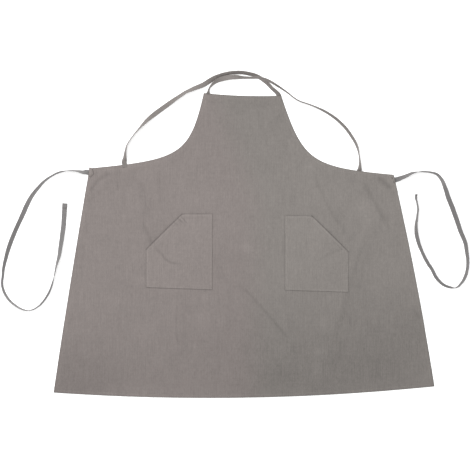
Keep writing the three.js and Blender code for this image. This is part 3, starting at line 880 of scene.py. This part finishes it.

# Creases: rise (below 0 for a groove), half width, how much painted shade darkens it, and points of its line
CREASE_COLUMNS = ("rise", "half", "shade", "line")
CREASES = named(CREASE_COLUMNS, [
    (-0.0005, 0.0045, 0.08, [(0.257, 0.045), (0.278, 0.02), (0.2735, -0.016)]),
    (-0.0013, 0.0058, 0.165, [(-0.435, 0.108), (-0.413, 0.145), (-0.365, 0.176)]),
    (-0.0005, 0.004, 0.1, [(-0.355, 0.153), (-0.354, 0.12)]),
    (-0.0006, 0.0075, 0.05,
     [(-0.317, 0.176), (-0.281, 0.122), (-0.275, 0.072), (-0.281, 0.024), (-0.257, -0.021)]),
    (-0.0006, 0.006, 0.11, [(-0.285, 0.033), (-0.268, -0.004), (-0.254, -0.037)]),
    (-0.0006, 0.0058, 0.085, [(-0.243, 0.184), (-0.237, 0.134), (-0.234, 0.075)]),
    (-0.0008, 0.0055, 0.1, [(0.192, 0.186), (0.212, 0.129), (0.229, 0.092), (0.276, 0.006)]),
    (-0.0011, 0.0065, 0.2, [(0.372, 0.163), (0.415, 0.124)]),
    (-0.0009, 0.006, 0.13, [(0.327, 0.159), (0.374, 0.075), (0.411, 0.01)]),
    (-0.0009, 0.0085, 0.085,
     [(0.36, 0.031), (0.304, -0.12), (0.29, -0.185), (0.268, -0.26), (0.248, -0.333)]),
    (-0.0007, 0.0042, 0.13, [(-0.014, -0.137), (0.059, -0.216), (0.132, -0.303)]),
    (-0.0003, 0.0045, 0.03, [(0.13, -0.304), (0.15, -0.346)]),
    (-0.0005, 0.0058, 0.048, [(-0.184, -0.158), (-0.144, -0.234)]),
    (-0.0005, 0.0032, 0.09, [(-0.187, -0.166), (-0.189, -0.279), (-0.178, -0.329)]),
    (-0.0003, 0.0038, 0.048, [(-0.164, -0.3), (-0.1, -0.3)]),
    (-0.0004, 0.006, 0.038, [(-0.355, -0.214), (-0.346, -0.27), (-0.31, -0.318)]),
    (-0.0006, 0.006, 0.065, [(0.473, -0.203), (0.495, -0.245)]),
    (-0.0005, 0.004, 0.06, [(-0.307, 0.184), (-0.313, 0.134)]),
    (-0.0005, 0.0045, 0.06, [(0.313, 0.173), (0.304, 0.128)]),
])
POCKET_CREASES = named(CREASE_COLUMNS, [
    (-0.0009, 0.0036, 0.15,
     [(-0.257, -0.035), (-0.234, -0.053), (-0.217, -0.073), (-0.195, -0.083), (-0.161, -0.085)]),
    (-0.0003, 0.004, 0.04, [(-0.192, -0.102), (-0.144, -0.091)]),
    (-0.0003, 0.004, 0.035, [(-0.178, -0.072), (-0.105, -0.066)]),
    (-0.0006, 0.0022, 0.27, [(-0.191, 0.048), (-0.168, 0.029)]),
    (-0.0005, 0.002, 0.2, [(-0.178, 0.051), (-0.157, 0.028)]),
    (-0.0004, 0.002, 0.14, [(-0.201, 0.037), (-0.184, 0.024)]),
    (-0.0006, 0.0046, 0.07, [(0.203, -0.08), (0.237, -0.057), (0.29, -0.037)]),
    (-0.0004, 0.003, 0.06, [(0.248, -0.018), (0.282, -0.049)]),
    (-0.0004, 0.002, 0.16, [(0.206, 0.033), (0.22, 0.047)]),
    (-0.0004, 0.002, 0.14, [(0.217, 0.019), (0.234, 0.034)]),
])

# Paler pressed patches, and broad painted shade and painted light that leave the cloth darker towards the
# bottom and over the bib: middle, half widths, and the change of tone
PATCHES = [
    (0.335, 0.072, 0.024, 0.026, 0.115), (0.007, -0.038, 0.016, 0.013, 0.1),
    (-0.243, -0.36, 0.022, 0.018, 0.03), (-0.29, -0.127, 0.018, 0.012, 0.1),
    (-0.108, -0.178, 0.016, 0.014, 0.1), (-0.114, -0.237, 0.02, 0.034, 0.045),
    (0.215, -0.251, 0.026, 0.022, 0.055), (0.209, -0.329, 0.014, 0.012, 0.14),
    (0.201, -0.383, 0.014, 0.026, 0.085), (-0.102, 0.366, 0.016, 0.014, 0.02),
    (0.108, 0.324, 0.02, 0.03, -0.025), (-0.44, -0.427, 0.06, 0.022, -0.015),
    (0.074, -0.397, 0.06, 0.028, -0.05), (0.341, -0.362, 0.04, 0.024, -0.01),
    (0.38, -0.302, 0.11, 0.1, -0.03), (-0.42, -0.332, 0.08, 0.1, -0.03), (0.24, -0.41, 0.36, 0.2, -0.19),
    (-0.5, -0.42, 0.1, 0.1, -0.12), (0.03, 0.37, 0.17, 0.14, -0.1), (-0.19, -0.03, 0.08, 0.1, 0.04),
    (0.4, 0.1, 0.05, 0.06, 0.02), (-0.37, -0.41, 0.09, 0.06, -0.07), (0.48, -0.24, 0.08, 0.13, -0.05),
    (0.07, 0.21, 0.12, 0.07, -0.03),
]
TAIL = 0.22


def from_path(x, y, line):
    """Distance of each point from a line of points, and its share of the way along it."""
    line = np.asarray(line, float)
    steps = np.linalg.norm(np.diff(line, axis=0), axis=1)
    starts = np.append(0, np.cumsum(steps))
    best = np.full(x.shape, np.inf)
    share = np.zeros(x.shape)
    for (x0, y0), (x1, y1), step, start in zip(line, line[1:], steps, starts):
        along = np.clip(((x - x0) * (x1 - x0) + (y - y0) * (y1 - y0)) / step**2, 0, 1)
        distance = np.hypot(x - x0 - (x1 - x0) * along, y - y0 - (y1 - y0) * along)
        nearer = distance < best
        best = np.where(nearer, distance, best)
        share = np.where(nearer, (start + along * step) / starts[-1], share)
    return best, share


def crease_line(line):
    """The smooth line of a crease, with enough points for its bends."""
    if len(line) == 2:
        return np.asarray(line, float)
    return through(line, np.linspace(0, 1, 8 * (len(line) - 1) + 1))


def creased(x, y, creases):
    """Height that creases give, and the painted shade along them."""
    height, tone = np.zeros(x.shape), np.zeros(x.shape)
    for crease in creases:
        distance, share = from_path(x, y, crease_line(crease["line"]))
        strength = ease(0, TAIL, share) * ease(0, TAIL, 1 - share) * hill(distance, crease["half"])
        height += crease["rise"] * strength
        tone -= crease["shade"] * strength
    return height, tone


def folded(x, y):
    """Height of the broad low folds."""
    height = np.zeros(x.shape)
    for x0, y0, x1, y1, high, wide in FOLDS:
        ends = [
            (MIDDLE + share_x * HEM_WIDTH / 2, HEM_LINE + share_y * SKIRT_LENGTH)
            for share_x, share_y in ((x0, y0), (x1, y1))
        ]
        distance, _ = from_path(x, y, ends)
        height = np.maximum(height, high * FOLD_HEIGHT * mound(distance, wide * FOLD_WIDTH))
    return height


# Slack of the lying cloth: height, and size across and along
WIDE_SLACK = (0.0016, 0.12, 0.15)
MIDDLE_SLACK = (0.0007, 0.042, 0.06)
FINE_SLACK = (0.00022, 0.016, 0.024)


def lying(x, y):
    """Height of slack that stands a little off the surface, never below it."""
    kinds = [WIDE_SLACK, MIDDLE_SLACK, FINE_SLACK]
    wide, middle, fine = (0.5 + 0.5 * noise(x, y, *size, 51 + k) for k, (_, *size) in enumerate(kinds))
    return WIDE_SLACK[0] * wide**2 + MIDDLE_SLACK[0] * middle + FINE_SLACK[0] * fine


SEATS = [LEFT_BIB_SEAT, RIGHT_BIB_SEAT, RIGHT_ARM_SEAT, LEFT_WAIST_SEAT, RIGHT_WAIST_SEAT]
SEAT_RADIUS = 0.020


def over_tapes(x, y):
    """Height by which the sewn-in ends of the tapes lift the cloth."""
    height = np.zeros(x.shape)
    for place, out in SEATS:
        inside = place - out * TUCK / 2
        distance = np.hypot(x - inside[0], y - inside[1])
        height = np.maximum(height, TAPE_THICK * mound(distance, SEAT_RADIUS))
    return height


def inside_share(x, y):
    """1 where a pocket lies over the cloth and 0 away from it, with a soft border."""
    share = np.zeros(x.shape)
    for side in (-1, 1):
        inner, outer, bottom, top = pocket_sides(side)
        in_x = ease(-0.006, 0.004, (x - inner) * side) * ease(-0.006, 0.004, (outer - x) * side)
        in_y = ease(-0.006, 0.004, y - bottom) * ease(-0.006, 0.004, top - y)
        share = np.maximum(share, in_x * in_y)
    return share


def base(x, y):
    """Height of the underside of the panel's cloth, before its hem."""
    covered = inside_share(x, y)
    grooves, _ = creased(x, y, CREASES)
    height = folded(x, y) + lying(x, y) * (1 - 0.7 * covered) + grooves * (1 - 0.9 * covered)
    return np.maximum(height, 0) + over_tapes(x, y)


def hem_lift(inset):
    """Rise of the cloth beside the layers that are turned under it."""
    return TURN * (1 - ease(TURN_WIDTH + 0.0005, TURN_WIDTH + HEM_EASE, inset))


# Gathers and groove of the hem's seam: height or depth, and reach from the seam
PUCKER = 0.00026
PUCKER_REACH = 0.0065
PUCKER_SIZE = 0.0062
GROOVE = 0.00032
GROOVE_REACH = 0.0007


def puckers(x, y, inset):
    """Small gathers across the stitched line near the edge."""
    return PUCKER * hill(inset - HEM_STITCH, PUCKER_REACH) * noise(x, y, PUCKER_SIZE, PUCKER_SIZE, 61)


def panel_top(x, y, inset):
    groove = GROOVE * hill(inset - HEM_STITCH, GROOVE_REACH)
    return base(x, y) + hem_lift(inset) + CLOTH - groove + puckers(x, y, inset)


# Flat plans of cloth

def strips(count, rings):
    """Faces between rings of points, facing up."""
    faces = []
    for k in range(rings - 1):
        for i in range(count):
            j = (i + 1) % count
            faces.append((k * count + i, k * count + j, (k + 1) * count + j, (k + 1) * count + i))
    return faces


def inside(points, outline):
    x, y = points.T
    result = np.zeros(len(points), bool)
    for (x0, y0), (x1, y1) in zip(outline, np.roll(outline, -1, axis=0)):
        if y0 != y1:
            crossed = ((y0 > y) != (y1 > y)) & (x < (x1 - x0) * (y - y0) / (y1 - y0) + x0)
            result ^= crossed
    return result


def tree_of(points):
    tree = KDTree(len(points))
    for i, (x, y) in enumerate(points):
        tree.insert((x, y, 0), i)
    tree.balance()
    return tree


def nearest(points, tree):
    return np.array([tree.find((x, y, 0))[2] for x, y in points])


def rows_along(line, spacing, offsets):
    """Points in rows beside a line, at those distances from it."""
    edge = Edge(crease_line(line))
    distance = np.linspace(0, edge.length, max(2, round(edge.length / spacing)))
    return np.concatenate([edge.at(distance) + edge.inward(distance) * offset for offset in offsets])


def counts_of(edges, step):
    return [max(3, round(edge.length / step)) for edge in edges]


def cloth_plan(edges, insets, step, spacing, creases, seed):
    """Points in plan, their distance from the edge, and faces: rings along the edges round a fine net."""
    counts = counts_of(edges, step)
    rings = [ring(edges, counts, inset) for inset in insets]
    count = sum(counts)
    last = rings[-1]
    low, high = last.min(axis=0), last.max(axis=0)
    across = np.arange(low[0], high[0], spacing)
    up = np.arange(low[1], high[1], spacing * math.sqrt(0.75))
    net_x, net_y = np.meshgrid(across, up)
    net_x = net_x + (np.arange(len(up)) % 2)[:, None] * spacing / 2
    net = np.column_stack([net_x.ravel(), net_y.ravel()])
    net = net + np.random.default_rng(seed).uniform(-0.12, 0.12, net.shape) * spacing
    offsets = np.array([-1.6, -0.8, 0, 0.8, 1.6])
    shaped = [rows_along(crease["line"], spacing, offsets * crease["half"]) for crease in creases]
    if shaped:
        shaped = np.concatenate(shaped)
        kept = []
        for i, point in enumerate(shaped):
            if all(abs(point[0] - x) + abs(point[1] - y) > 0.25 * spacing for x, y in kept[-60:]):
                kept.append(tuple(point))
        shaped = np.array(kept)
        net = net[nearest(net, tree_of(shaped)) > 0.6 * spacing]
        net = np.concatenate([net, shaped])
    net = net[inside(net, last)]
    net = net[nearest(net, tree_of(last)) > 0.45 * spacing]
    constraints = [(i, (i + 1) % count) for i in range(count)]
    given = [Vector(point) for point in np.concatenate([last, net])]
    found, _, triangles, origins, _, _ = delaunay_2d_cdt(given, constraints, [], 1, 1e-9, True)
    start = (len(rings) - 1) * count
    number, extra = [], []
    for i, origin in enumerate(origins):
        own = [k for k in origin if k < count]
        if own:
            number.append(start + own[0])
        else:
            number.append(len(rings) * count + len(extra))
            extra.append(tuple(found[i]))
    extra = np.array(extra)
    points = np.concatenate([*rings, extra])
    outline = np.concatenate([edge.at(np.arange(0, edge.length, 0.0005)) for edge in edges])
    distance = np.concatenate([np.repeat(insets, count), nearest(extra, tree_of(outline))])
    found, triangles, number = np.array(found), np.array(triangles), np.array(number)
    a, b, c = (found[triangles[:, k]] for k in range(3))
    turned = (b[:, 0] - a[:, 0]) * (c[:, 1] - a[:, 1]) < (b[:, 1] - a[:, 1]) * (c[:, 0] - a[:, 0])
    triangles[turned] = triangles[turned][:, ::-1]
    on_rim = np.argsort(number)[:count]
    within = inside((a + b + c) / 3, found[on_rim])
    faces = strips(count, len(rings)) + number[triangles[within]].tolist()
    return points, distance, faces, count


def grain_of(x, y, seed):
    """Cloth coordinates whose yarns wander a little."""
    return np.column_stack([
        x + 0.0016 * noise(x, y, 0.09, 0.13, seed),
        y + 0.0016 * noise(x, y, 0.13, 0.09, seed + 1),
        np.zeros(x.shape),
    ])


def closed_cloth(name, plan, top, bottom, rim_radius, seed, tone, material):
    """A closed piece of cloth between two heights, which meet along its outline in a round rim."""
    points, inset, faces, rim = plan
    share = np.sqrt(np.maximum(1 - (1 - np.minimum(inset, rim_radius) / rim_radius) ** 2, 0))
    middle = (top + bottom) / 2
    upper = np.column_stack([points, middle + (top - middle) * share])
    lower = np.column_stack([points, middle + (bottom - middle) * share])
    both = [np.concatenate([values, values[rim:]]) for values in (grain_of(*points.T, seed), tone)]
    below = np.append(np.arange(rim), len(points) + np.arange(len(points) - rim))
    faces = faces + [tuple(below[list(face[::-1])].tolist()) for face in faces]
    return make_piece(name, np.vstack([upper, lower[rim:]]), faces, *both, material, "cloth")


def flat_stitches(name, centres, ways, material):
    """Stitches on cloth that lies flat."""
    up = np.tile([0.0, 0.0, 1.0], (len(centres), 1))
    return make_stitches(name, centres, ways, up, material, "cloth")


# Panel

PANEL_RINGS = np.array([
    0, 0.00012, 0.0004, 0.0008, 0.0014, 0.0035, 0.0060, 0.0078, HEM_STITCH, 0.0092, 0.0098, 0.0103, 0.0125,
])
EDGE_STEP = 0.0036
NET = 0.0048


def wear_and_painted_shade(x, y):
    # Paler pressed patches together with broad painted shade and painted light
    tone = np.zeros(x.shape)
    for px, py, wide, high, change in PATCHES:
        tone += change * np.exp(-((x - px) / wide) ** 2 - ((y - py) / high) ** 2)
    return tone


def hem_painted_shading(inset):
    """Painted shade along the edge's fold and beside the stitches, and a painted highlight over the raised
    doubled hem.
    """
    return (
        -0.20 * (1 - ease(0.0005, 0.0024, inset))
        + 0.055 * hill(inset - 0.0070, 0.0040)
        - 0.04 * hill(inset - HEM_STITCH, 0.0009)
    )


def pocket_lines(side):
    """The straight sides of a pocket and the shade that each throws on the panel beside it."""
    corners = pocket_corners(side)
    shades = [SIDE_SHADE, SIDE_SHADE, MOUTH_SHADE, SIDE_SHADE, SIDE_SHADE]
    return [
        {"line": [tuple(start), tuple(end)], "half": POCKET_LINE, "shade": shade}
        for start, end, shade in zip(corners, np.roll(corners, -1, axis=0), shades)
    ]


def pocket_shade(x, y):
    """The panel is darker close round each pocket, most of all under the open mouth."""
    tone = np.zeros(x.shape)
    for side in (-1, 1):
        for edge in pocket_lines(side):
            distance, _ = from_path(x, y, edge["line"])
            tone = np.minimum(tone, -edge["shade"] * hill(distance, edge["half"]))
    return tone


def make_panel():
    lines = CREASES + pocket_lines(-1) + pocket_lines(1)
    plan = cloth_plan(PANEL_EDGES, PANEL_RINGS, EDGE_STEP, NET, lines, 71)
    points, inset, *_ = plan
    x, y = points.T
    top = panel_top(x, y, inset)
    bottom = base(x, y) + np.where(inset < TURN_WIDTH, 0, hem_lift(inset)) + puckers(x, y, inset)
    _, crease_painted_shade = creased(x, y, CREASES)
    # Painted shade at the hem, in creases and round the pockets, a painted highlight on the hem, and pressed
    # patches with broad painted shade
    tone = hem_painted_shading(inset) + crease_painted_shade + wear_and_painted_shade(x, y) + pocket_shade(x, y)
    rim = (CLOTH + TURN) / 2
    panel = closed_cloth("panel_cloth", plan, top, np.maximum(bottom, 0), rim, 81, tone, PANEL_MATERIAL)
    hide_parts("panel")
    path = ring(PANEL_EDGES, counts_of(PANEL_EDGES, EDGE_STEP), HEM_STITCH)
    centres, along = seam(path, lambda px, py: panel_top(px, py, np.full(px.shape, HEM_STITCH)), closed=True)
    return panel, flat_stitches("panel_stitches", centres, along, THREAD_MATERIAL)


# Small parts sewn on the panel

# End of the armhole's hem, folded over to the front at the left of the waist: metres from that corner
FOLDED_CORNER = np.array([
    (-0.0006, 0.0031), (-0.0017, -0.0076), (-0.0028, -0.0216),
    (0.0031, -0.025), (0.0129, -0.016), (0.0087, 0.0003),
])
FOLDED_RINGS = np.array([0, 0.00012, 0.0004, 0.0009, 0.0018])

# Bar tacks over the right tie's sewn end: metres from the right corner of the waist
BAR_TACKS = np.array([(-0.0045, -0.0091), (0.0002, -0.0210)])
BAR_LENGTH = 0.0050
BAR_THREADS = 9


def panel_front(x, y):
    """Height of the panel's upper side over its hem."""
    return panel_top(x, y, np.full(np.shape(x), HEM_STITCH / 2))


def make_folded_corner():
    corners = WAIST_LEFT + FOLDED_CORNER
    edges = [Edge([start, end]) for start, end in zip(corners, np.roll(corners, -1, axis=0))]
    plan = cloth_plan(edges, FOLDED_RINGS, 0.0014, 0.0022, [], 111)
    points, inset, *_ = plan
    x, y = points.T
    bottom = panel_front(x, y) + POCKET_CLEARANCE
    top = bottom + CLOTH + TURN * ease(0, 0.0045, inset)
    crease, _ = from_path(x, y, corners[4:6])
    # A slightly paler pad, with painted shade along its rim and along its fold
    tone = 0.04 - 0.30 * (1 - ease(0.0002, 0.0016, inset)) - 0.40 * hill(crease, 0.0018)
    return closed_cloth("folded_corner_cloth", plan, top, bottom, CLOTH / 2, 121, tone, PANEL_MATERIAL)


def make_bar_tacks():
    along = RIGHT_WAIST_SEAT[1]
    across = np.array([-along[1], along[0]])
    spread = np.linspace(-BAR_LENGTH / 2, BAR_LENGTH / 2, BAR_THREADS)[:, None]
    places = np.concatenate([WAIST_RIGHT + place + across * spread for place in BAR_TACKS])
    centres = np.column_stack([places, panel_front(*places.T) + THREAD_RADIUS / 2])
    ways = np.tile([*along, 0.0], (len(places), 1))
    return flat_stitches("bar_tacks", centres, ways, BAR_MATERIAL)


# Pockets

# Shares that the lie gives each pocket of its width, height, level top and mouth drop, and of the rise
# of its bottom at the inner and at the outer corner
SHARE_COLUMNS = ("width", "height", "top", "drop", "inner_rise", "outer_rise")
LEFT_SHARES, RIGHT_SHARES = named(SHARE_COLUMNS, [
    (1.024, 1.012, 1.04, 1.012, 1.002, 1.023),
    (0.978, 0.994, 0.925, 1.02, 0.998, 0.98),
])
POCKET_SHARES = {-1: LEFT_SHARES, 1: RIGHT_SHARES}
MOUTH_ROUND = 0.014
END_ROUND = 0.006


def pocket_sides(side):
    """Inner and outer X, bottom and top Y of a pocket."""
    shares = POCKET_SHARES[side]
    inner = MIDDLE + POCKET_SHIFT + side * POCKET_SPACING / 2
    outer = inner + side * POCKET_WIDTH * shares["width"]
    bottom = HEM_LINE + POCKET_RISE * shares["inner_rise"]
    return inner, outer, bottom, bottom + POCKET_HEIGHT * shares["height"]


def pocket_corners(side):
    shares = POCKET_SHARES[side]
    inner, outer, bottom, top = pocket_sides(side)
    return np.array([
        (inner, bottom),
        (outer, HEM_LINE + POCKET_RISE * shares["outer_rise"]),
        (outer, top - MOUTH_DROP * shares["drop"]),
        (inner + side * POCKET_TOP * shares["top"], top),
        (inner, top),
    ])


def pocket_edges(side):
    """Edges in turn with the cloth on the left: a rounded corner is shared by the edges that meet there."""
    corners = pocket_corners(side)
    rounds = np.array([0, 0, END_ROUND, MOUTH_ROUND, 0])
    if side < 0:
        corners, rounds = corners[::-1], rounds[::-1]
    halves = []
    for k, point in enumerate(corners):
        back = unit(corners[k - 1] - point) * rounds[k]
        on = unit(corners[(k + 1) % len(corners)] - point) * rounds[k]
        curve = bezier([point + back, point, point + on], 17)
        halves.append((curve[:9], curve[8:]))
    return [Edge(np.vstack([here[1], there[0]])) for here, there in zip(halves, halves[1:] + halves[:1])]


POCKET_RINGS = np.array([
    0, 0.00012, 0.00035, 0.0007, 0.0013, POCKET_SEAM, 0.0031, 0.0055, 0.0079, 0.0084, 0.011,
])
POCKET_STEP = 0.0026
POCKET_NET = 0.0031
POCKET_GROOVE = 0.00028
MOUTH_STITCH = MOUTH_TURN - 0.0018

# Bar tacks at both ends of a mouth: distance from its end, and the first and last thread from the edge
TACK_IN = 0.006
TACK_FIRST = 0.0012
TACK_LAST = 0.0085
TACK_THREADS = 9


class Pocket:
    """Edges, heights, tone and stitches of one pocket."""

    def __init__(self, side, seed):
        self.seed = seed
        self.edges = pocket_edges(side)
        self.middle = pocket_corners(side).mean(axis=0)
        self.mouth = pocket_corners(side)[2:4]
        self.creases = [crease for crease in POCKET_CREASES if crease["line"][0][0] * side > 0]

    def mouth_distance(self, x, y):
        return from_path(x, y, self.mouth)[0]

    def under(self, x, y):
        """Height of its underside, which gapes at the middle of the mouth."""
        middle_x, middle_y = self.mouth.mean(axis=0)
        reach = np.linalg.norm(self.mouth[1] - self.mouth[0]) / 2
        gape = MOUTH_GAPE * mound(np.hypot(x - middle_x, y - middle_y), reach)
        return base(x, y) + CLOTH + POCKET_CLEARANCE + gape

    def lift(self, x, y, inset):
        """Rise over the turned hems of the mouth and of the sewn sides."""
        sewn = 1 - ease(POCKET_TURN_WIDTH, POCKET_TURN_WIDTH + 0.010, inset)
        mouth_hem = 1 - ease(MOUTH_TURN, MOUTH_TURN + 0.010, self.mouth_distance(x, y))
        return POCKET_TURN * np.maximum(sewn, mouth_hem)

    def over(self, x, y, inset):
        """Height of its upper side, with slack, gathers, creases and the grooves of its seams."""
        to_mouth = self.mouth_distance(x, y)
        grooves, _ = creased(x, y, self.creases)
        seam_groove = POCKET_GROOVE * hill(inset - POCKET_SEAM, 0.0006) * ease(0.004, 0.010, to_mouth)
        mouth_groove = POCKET_GROOVE * hill(to_mouth - MOUTH_STITCH, 0.0007)
        slack = 0.0006 * (0.5 + 0.5 * noise(x, y, 0.03, 0.04, self.seed)) * ease(0.004, 0.02, inset)
        gathers = 0.00020 * hill(inset - POCKET_SEAM, 0.004) * noise(x, y, 0.0055, 0.0055, self.seed + 1)
        raised = self.under(x, y) + self.lift(x, y, inset) + CLOTH + slack + gathers
        return raised - seam_groove - mouth_groove + grooves

    def tone(self, x, y, inset):
        """Painted shade along the rims, along the mouth's rim, in the seam's groove and in creases, a painted
        highlight over the turned hem and inside the mouth, and the pressed marks and broad painted shade and
        light of the whole cloth.
        """
        to_mouth = self.mouth_distance(x, y)
        _, crease_painted_shade = creased(x, y, self.creases)
        return (
            -0.08 * (1 - ease(0.0003, 0.0010, inset))
            - 0.12 * (1 - ease(0.0003, 0.0012, to_mouth))
            + 0.10 * hill(inset - 0.0034, 0.0015)
            - 0.02 * hill(inset - POCKET_SEAM, 0.0006)
            + 0.02 * hill(to_mouth - 0.006, 0.006)
            + crease_painted_shade
            + wear_and_painted_shade(x, y)
        )

    def seams(self):
        """Middles and directions of the stitches along every edge."""
        found = []
        for edge in self.edges:
            middle = edge.points[[0, -1]].mean(axis=0)
            in_mouth = np.linalg.norm(middle - self.mouth.mean(axis=0)) < MOUTH_TURN
            inset, end = (MOUTH_STITCH, 0.004) if in_mouth else (POCKET_SEAM, POCKET_SEAM)
            distance = np.linspace(end, edge.length - end, 60)
            path = edge.at(distance) + edge.inward(distance) * inset
            found.append(seam(path, lambda x, y: self.over(x, y, np.full(x.shape, inset))))
        return found

    def tacks(self):
        """Middles and directions of the bar tacks at both ends of the mouth."""
        found = []
        for end, inner in (self.mouth, self.mouth[::-1]):
            way = unit(inner - end)
            across = np.array([-way[1], way[0]])
            into = across if np.dot(across, self.middle - end) > 0 else -across
            threads = np.linspace(TACK_FIRST, TACK_LAST, TACK_THREADS)[:, None]
            tack = end + way * TACK_IN + into * threads
            heights = self.over(tack[:, 0], tack[:, 1], np.full(len(tack), 0.004))
            centres = np.column_stack([tack, heights + THREAD_RADIUS * 0.5])
            found.append((centres, np.tile([*way, 0.0], (len(tack), 1))))
        return found


def make_pocket(name, node, side, seed):
    pocket = Pocket(side, seed)
    plan = cloth_plan(pocket.edges, POCKET_RINGS, POCKET_STEP, POCKET_NET, pocket.creases, seed)
    points, inset, *_ = plan
    x, y = points.T
    top = pocket.over(x, y, inset)
    turned = (inset < POCKET_TURN_WIDTH) | (pocket.mouth_distance(x, y) < MOUTH_TURN)
    bottom = pocket.under(x, y) + np.where(turned, 0, pocket.lift(x, y, inset))
    bottom = np.minimum(bottom, top - 0.8 * CLOTH)
    tone = pocket.tone(x, y, inset)
    rim = (CLOTH + POCKET_TURN) / 2
    cloth = closed_cloth(name, plan, top, bottom, rim, seed + 2, tone, POCKET_MATERIAL)
    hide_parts(node)
    centres, ways = (np.concatenate(rows) for rows in zip(*pocket.seams(), *pocket.tacks()))
    stitches = flat_stitches(name.replace("_cloth", "_stitches"), centres, ways, THREAD_MATERIAL)


panel, panel_stitches = make_panel()
make_folded_corner()
make_bar_tacks()
make_pocket("pocket_left_cloth", "pocket_left", -1, 91)
make_pocket("pocket_right_cloth", "pocket_right", 1, 101)


# Floor and light

FLOOR_SIZE = 14.0
FLOOR_LEVEL = -0.0003
FLOOR_GLOW = 0.3


def make_floor():
    half = FLOOR_SIZE / 2
    mesh = bpy.data.meshes.new("floor")
    corners = [(-half, -half, 0), (half, -half, 0), (half, half, 0), (-half, half, 0)]
    mesh.from_pydata([(x, y, FLOOR_LEVEL) for x, y, _ in corners], [], [(0, 1, 2, 3)])
    nodes = Nodes("floor")
    nodes.shader.inputs["Base Color"].default_value = (0.93, 0.93, 0.93, 1)
    nodes.shader.inputs["Roughness"].default_value = 0.9
    nodes.shader.inputs["Specular IOR Level"].default_value = 0.1
    nodes.shader.inputs["Emission Color"].default_value = (1, 1, 1, 1)
    nodes.shader.inputs["Emission Strength"].default_value = FLOOR_GLOW
    mesh.materials.append(nodes.material)
    floor = bpy.data.objects.new("floor", mesh)
    bpy.context.scene.collection.objects.link(floor)


def make_light(name, place, size, power):
    data = bpy.data.lights.new(name, "AREA")
    data.shape = "DISK"
    data.size = size
    data.energy = power
    light = bpy.data.objects.new(name, data)
    light.location = place
    light.rotation_mode = "QUATERNION"
    light.rotation_quaternion = (-Vector(place)).to_track_quat("-Z", "Y")
    bpy.context.scene.collection.objects.link(light)


def make_world(strength):
    world = bpy.data.worlds.new("studio")
    world.use_nodes = True
    world.node_tree.nodes["Background"].inputs["Color"].default_value = (1, 1, 1, 1)
    world.node_tree.nodes["Background"].inputs["Strength"].default_value = strength
    bpy.context.scene.world = world


make_floor()
make_light("key", (-1.5, 2.3, 2.6), 1.6, 105)
make_world(1.05)
bpy.context.scene.view_settings.view_transform = "Standard"
